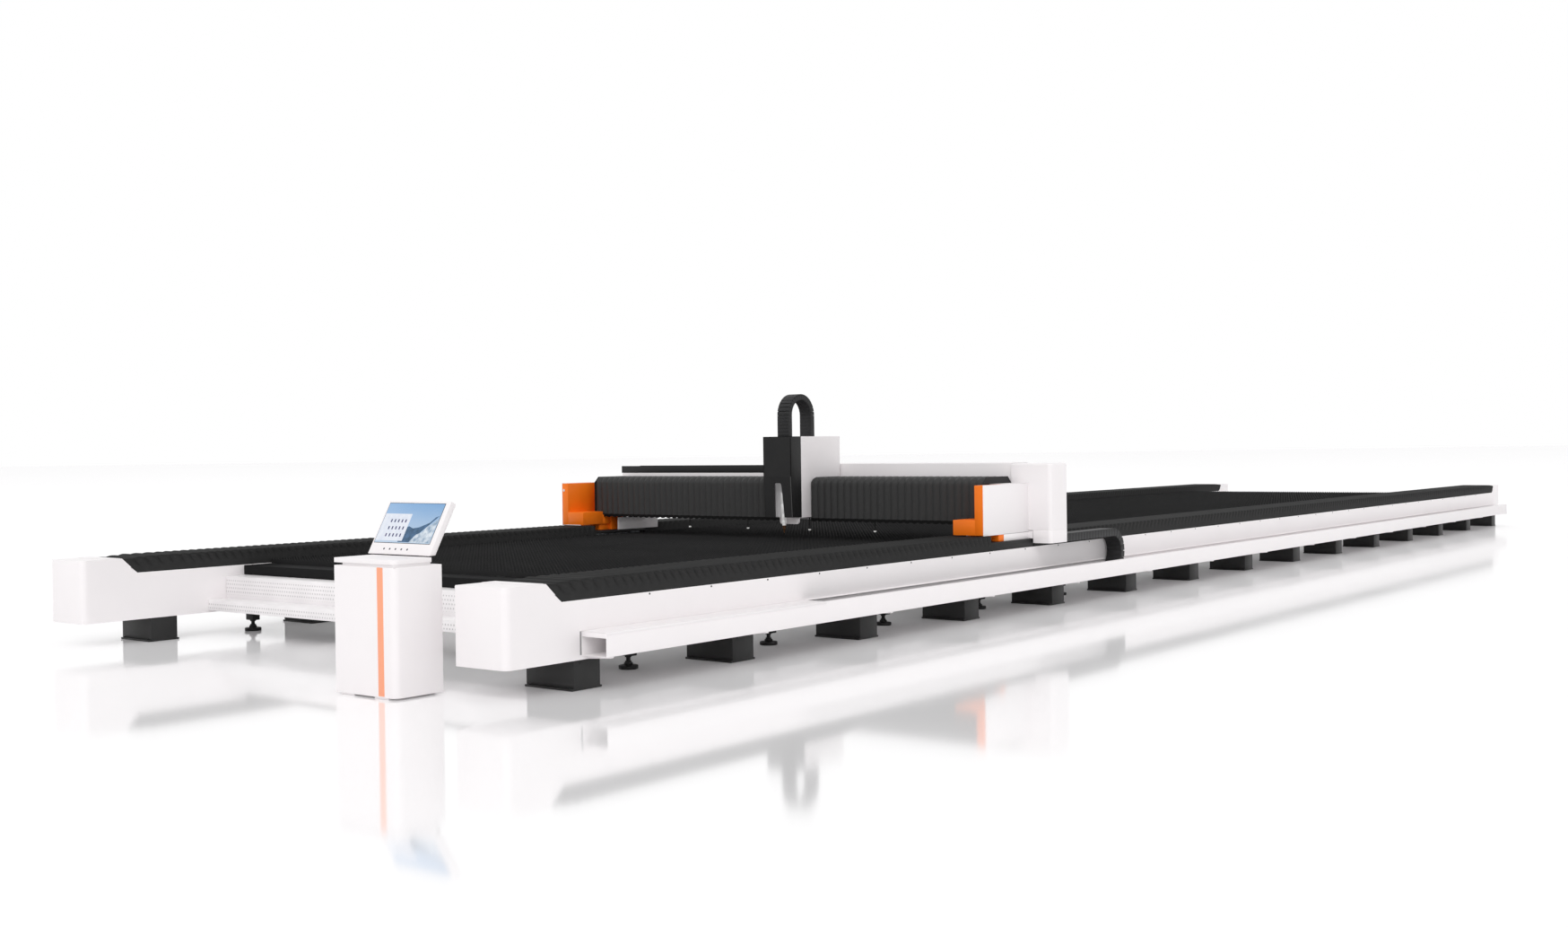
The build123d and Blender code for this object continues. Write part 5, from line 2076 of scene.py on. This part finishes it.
class InnerParts:
    """CAD nodes that keep their shape and only take a real surface."""

    FINISHES: dict[str, Finish] = {
        "y_guide_rails": GROUND_STEEL,
        "y_racks": GROUND_STEEL,
        "y_slide_blocks": GROUND_STEEL,
        "y_pinions": GROUND_STEEL,
        "x_guide_rails": GROUND_STEEL,
        "x_rack": GROUND_STEEL,
        "x_slide_blocks": GROUND_STEEL,
        "x_pinion": GROUND_STEEL,
        "z_screw": GROUND_STEEL,
        "y_drives": BLACK_COAT,
        "x_drive": BLACK_COAT,
        "z_motor": BLACK_COAT,
        "table_members": DARK_PAINT,
        "gantry_beam": DARK_PAINT,
        "bellows_end_plates": BLACK_COAT,
        "monitor_hinge": BLACK_COAT,
    }

    def __init__(self, maker: Maker, nodes: dict[str, bpy.types.Object]) -> None:
        """Keeps the nodes of the loaded frame.

        Args:
            maker: What holds the materials.
            nodes: Node names to their objects.
        """
        self.maker = maker
        self.nodes = nodes

    def build(self) -> None:
        """Gives each kept node its surface."""
        for name, finish in self.FINISHES.items():
            data = self.nodes[name].data
            data.materials.clear()
            data.materials.append(self.maker.finishes.get(finish))
            log.info("dressed %s", name)


@dataclass
class Studio:
    """Floor, light and camera.

    Attributes:
        camera: Place of the camera.
        yaw: Its turn to the left of straight ahead, in radians.
        pitch: How far it looks down.
        roll: Its turn about the line of sight.
        focal: Focal length in pixels of the picture.
        sky: Strength of the white surroundings as a light.
        sun: Strength of the one lamp.
        sun_from: Direction it comes from.
        sun_spread: Its angle, which sets how soft shadows are, in degrees.
        floor_gloss: Weight of the floor's reflection.
        floor_blur: Roughness of that reflection.
        floor_lift: Light added where the floor is seen, so that it turns into the white.
        floor_half: Half the floor's width.
    """

    camera: tuple[float, float, float] = (11.3466, -7.5077, 1.75)
    yaw: float = 0.6602
    pitch: float = 0.0108
    roll: float = -0.0135
    focal: float = 1782.1
    width: int = 1748
    height: int = 1034
    sensor: float = 36.0
    sky: float = 0.83
    sun: float = 0.24
    sun_from: tuple[float, float, float] = (0.42, -0.62, 0.66)
    sun_spread: float = 35.0
    floor_gloss: float = 0.49
    floor_blur: float = 0.06
    floor_lift: float = 0.055
    floor_half: float = 400.0
    floor_z: float = -0.001

    def build(self) -> None:
        """Makes the studio."""
        self._world()
        self._floor()
        self._lights()
        self._camera()
        scene = bpy.context.scene
        scene.view_settings.view_transform = "Standard"
        scene.render.resolution_x, scene.render.resolution_y = self.width, self.height

    @staticmethod
    def _seen(g: Graph) -> Source:
        """A socket that is 1 for rays that show the background, clamped sum of three kinds.

        Args:
            g: The tree it is added to.

        Returns:
            The socket: camera, glossy and transmission rays added up.
        """
        kinds = g.add("LightPath").outputs
        total = kinds["Is Camera Ray"]
        for kind in ("Is Glossy Ray", "Is Transmission Ray"):
            total = g.add("Math", {0: total, 1: kinds[kind]}, operation="ADD", use_clamp=True)
        return total

    def _world(self) -> None:
        """White surroundings: full white where they are seen, a little less as a light."""
        world = bpy.data.worlds.new("studio_white")
        bpy.context.scene.world = world
        g = Graph(world, "OutputWorld")
        white = linear("#ffffff")
        soft = g.add("Background", {"Color": white, "Strength": self.sky})
        seen = g.add("Background", {"Color": white, "Strength": 1.0})
        g.close(g.add("MixShader", {0: self._seen(g), 1: soft, 2: seen}))

    def _floor(self) -> None:
        """A white floor: diffuse with a thin blurred reflection, lifted to white where seen."""
        g = Graph(bpy.data.materials.new("polished_white_floor"))
        place = g.add("TexCoord").outputs["Object"]
        noise = g.add("TexNoise", {"Vector": place, "Scale": 0.6, "Detail": 3.0})
        colour = g.add(
            "Mix",
            {0: noise, 6: linear("#f8f7f8"), 7: linear("#fbfafb")},
            data_type="RGBA",
        )
        rough = g.add("Math", {0: noise, 1: 0.03, 2: self.floor_blur}, operation="MULTIPLY_ADD")
        white = linear("#ffffff")
        body = g.add("BsdfDiffuse", {"Color": colour.outputs[2]})
        gloss = g.add("BsdfGlossy", {"Color": white, "Roughness": rough})
        coated = g.add("MixShader", {0: self.floor_gloss, 1: body, 2: gloss})
        lift = g.add("Math", {0: self._seen(g), 1: self.floor_lift}, operation="MULTIPLY")
        glow = g.add("Emission", {"Color": white, "Strength": lift})
        g.close(g.add("AddShader", {0: coated, 1: glow}))
        s, z = self.floor_half, self.floor_z
        mesh = bpy.data.meshes.new("studio_floor")
        mesh.from_pydata([(-s, -s, z), (s, -s, z), (s, s, z), (-s, s, z)], [], [(0, 1, 2, 3)])
        mesh.materials.append(g.owner)
        floor = bpy.data.objects.new("studio_floor", mesh)
        bpy.context.scene.collection.objects.link(floor)

    def _lights(self) -> None:
        """One wide soft light from the front right above."""
        data = bpy.data.lights.new("studio_sun", "SUN")
        data.angle = math.radians(self.sun_spread)
        data.energy = self.sun * math.pi
        lamp = bpy.data.objects.new("studio_sun", data)
        lamp.rotation_euler = (-Vector(self.sun_from)).to_track_quat("-Z", "Y").to_euler()
        bpy.context.scene.collection.objects.link(lamp)

    def _camera(self) -> None:
        """The camera: its line of sight from yaw and pitch, then turned about it by the roll.

        Ahead is (-sin yaw cos pitch, cos yaw cos pitch, -sin pitch), level is
        (cos yaw, sin yaw, 0), and right and up are level and level x ahead turned by the roll.
        """
        data = bpy.data.cameras.new("camera")
        data.sensor_width = self.sensor
        data.lens = self.focal / self.width * self.sensor
        data.clip_end = 300.0
        camera = bpy.data.objects.new("camera", data)
        bpy.context.scene.collection.objects.link(camera)
        cy, sy = math.cos(self.yaw), math.sin(self.yaw)
        cp, sp = math.cos(self.pitch), math.sin(self.pitch)
        ahead = Vector((-sy * cp, cy * cp, -sp))
        level = Vector((cy, sy, 0.0))
        over = level.cross(ahead)
        cr, sr = math.cos(self.roll), math.sin(self.roll)
        right = level * cr + over * sr
        up = -level * sr + over * cr
        turn = Matrix((right, up, -ahead)).transposed().to_4x4()
        camera.matrix_world = Matrix.Translation(Vector(to_frame(self.camera))) @ turn
        bpy.context.scene.camera = camera


def main() -> None:
    """Builds the looks sub-assembly by sub-assembly."""
    logging.basicConfig(level=logging.INFO, format="%(message)s")
    bpy.ops.wm.read_factory_settings(use_empty=True)
    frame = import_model()
    maker = Maker(Finishes())
    for part in (
        InnerParts(maker, frame["nodes"]),
        Rails(maker),
        SideChain(maker),
        Table(maker),
        Console(maker),
        Gantry(maker),
        Carriage(maker),
        Studio(),
    ):
        part.build()
        log.info("built %s", type(part).__name__)


if __name__ == "__main__":
    main()
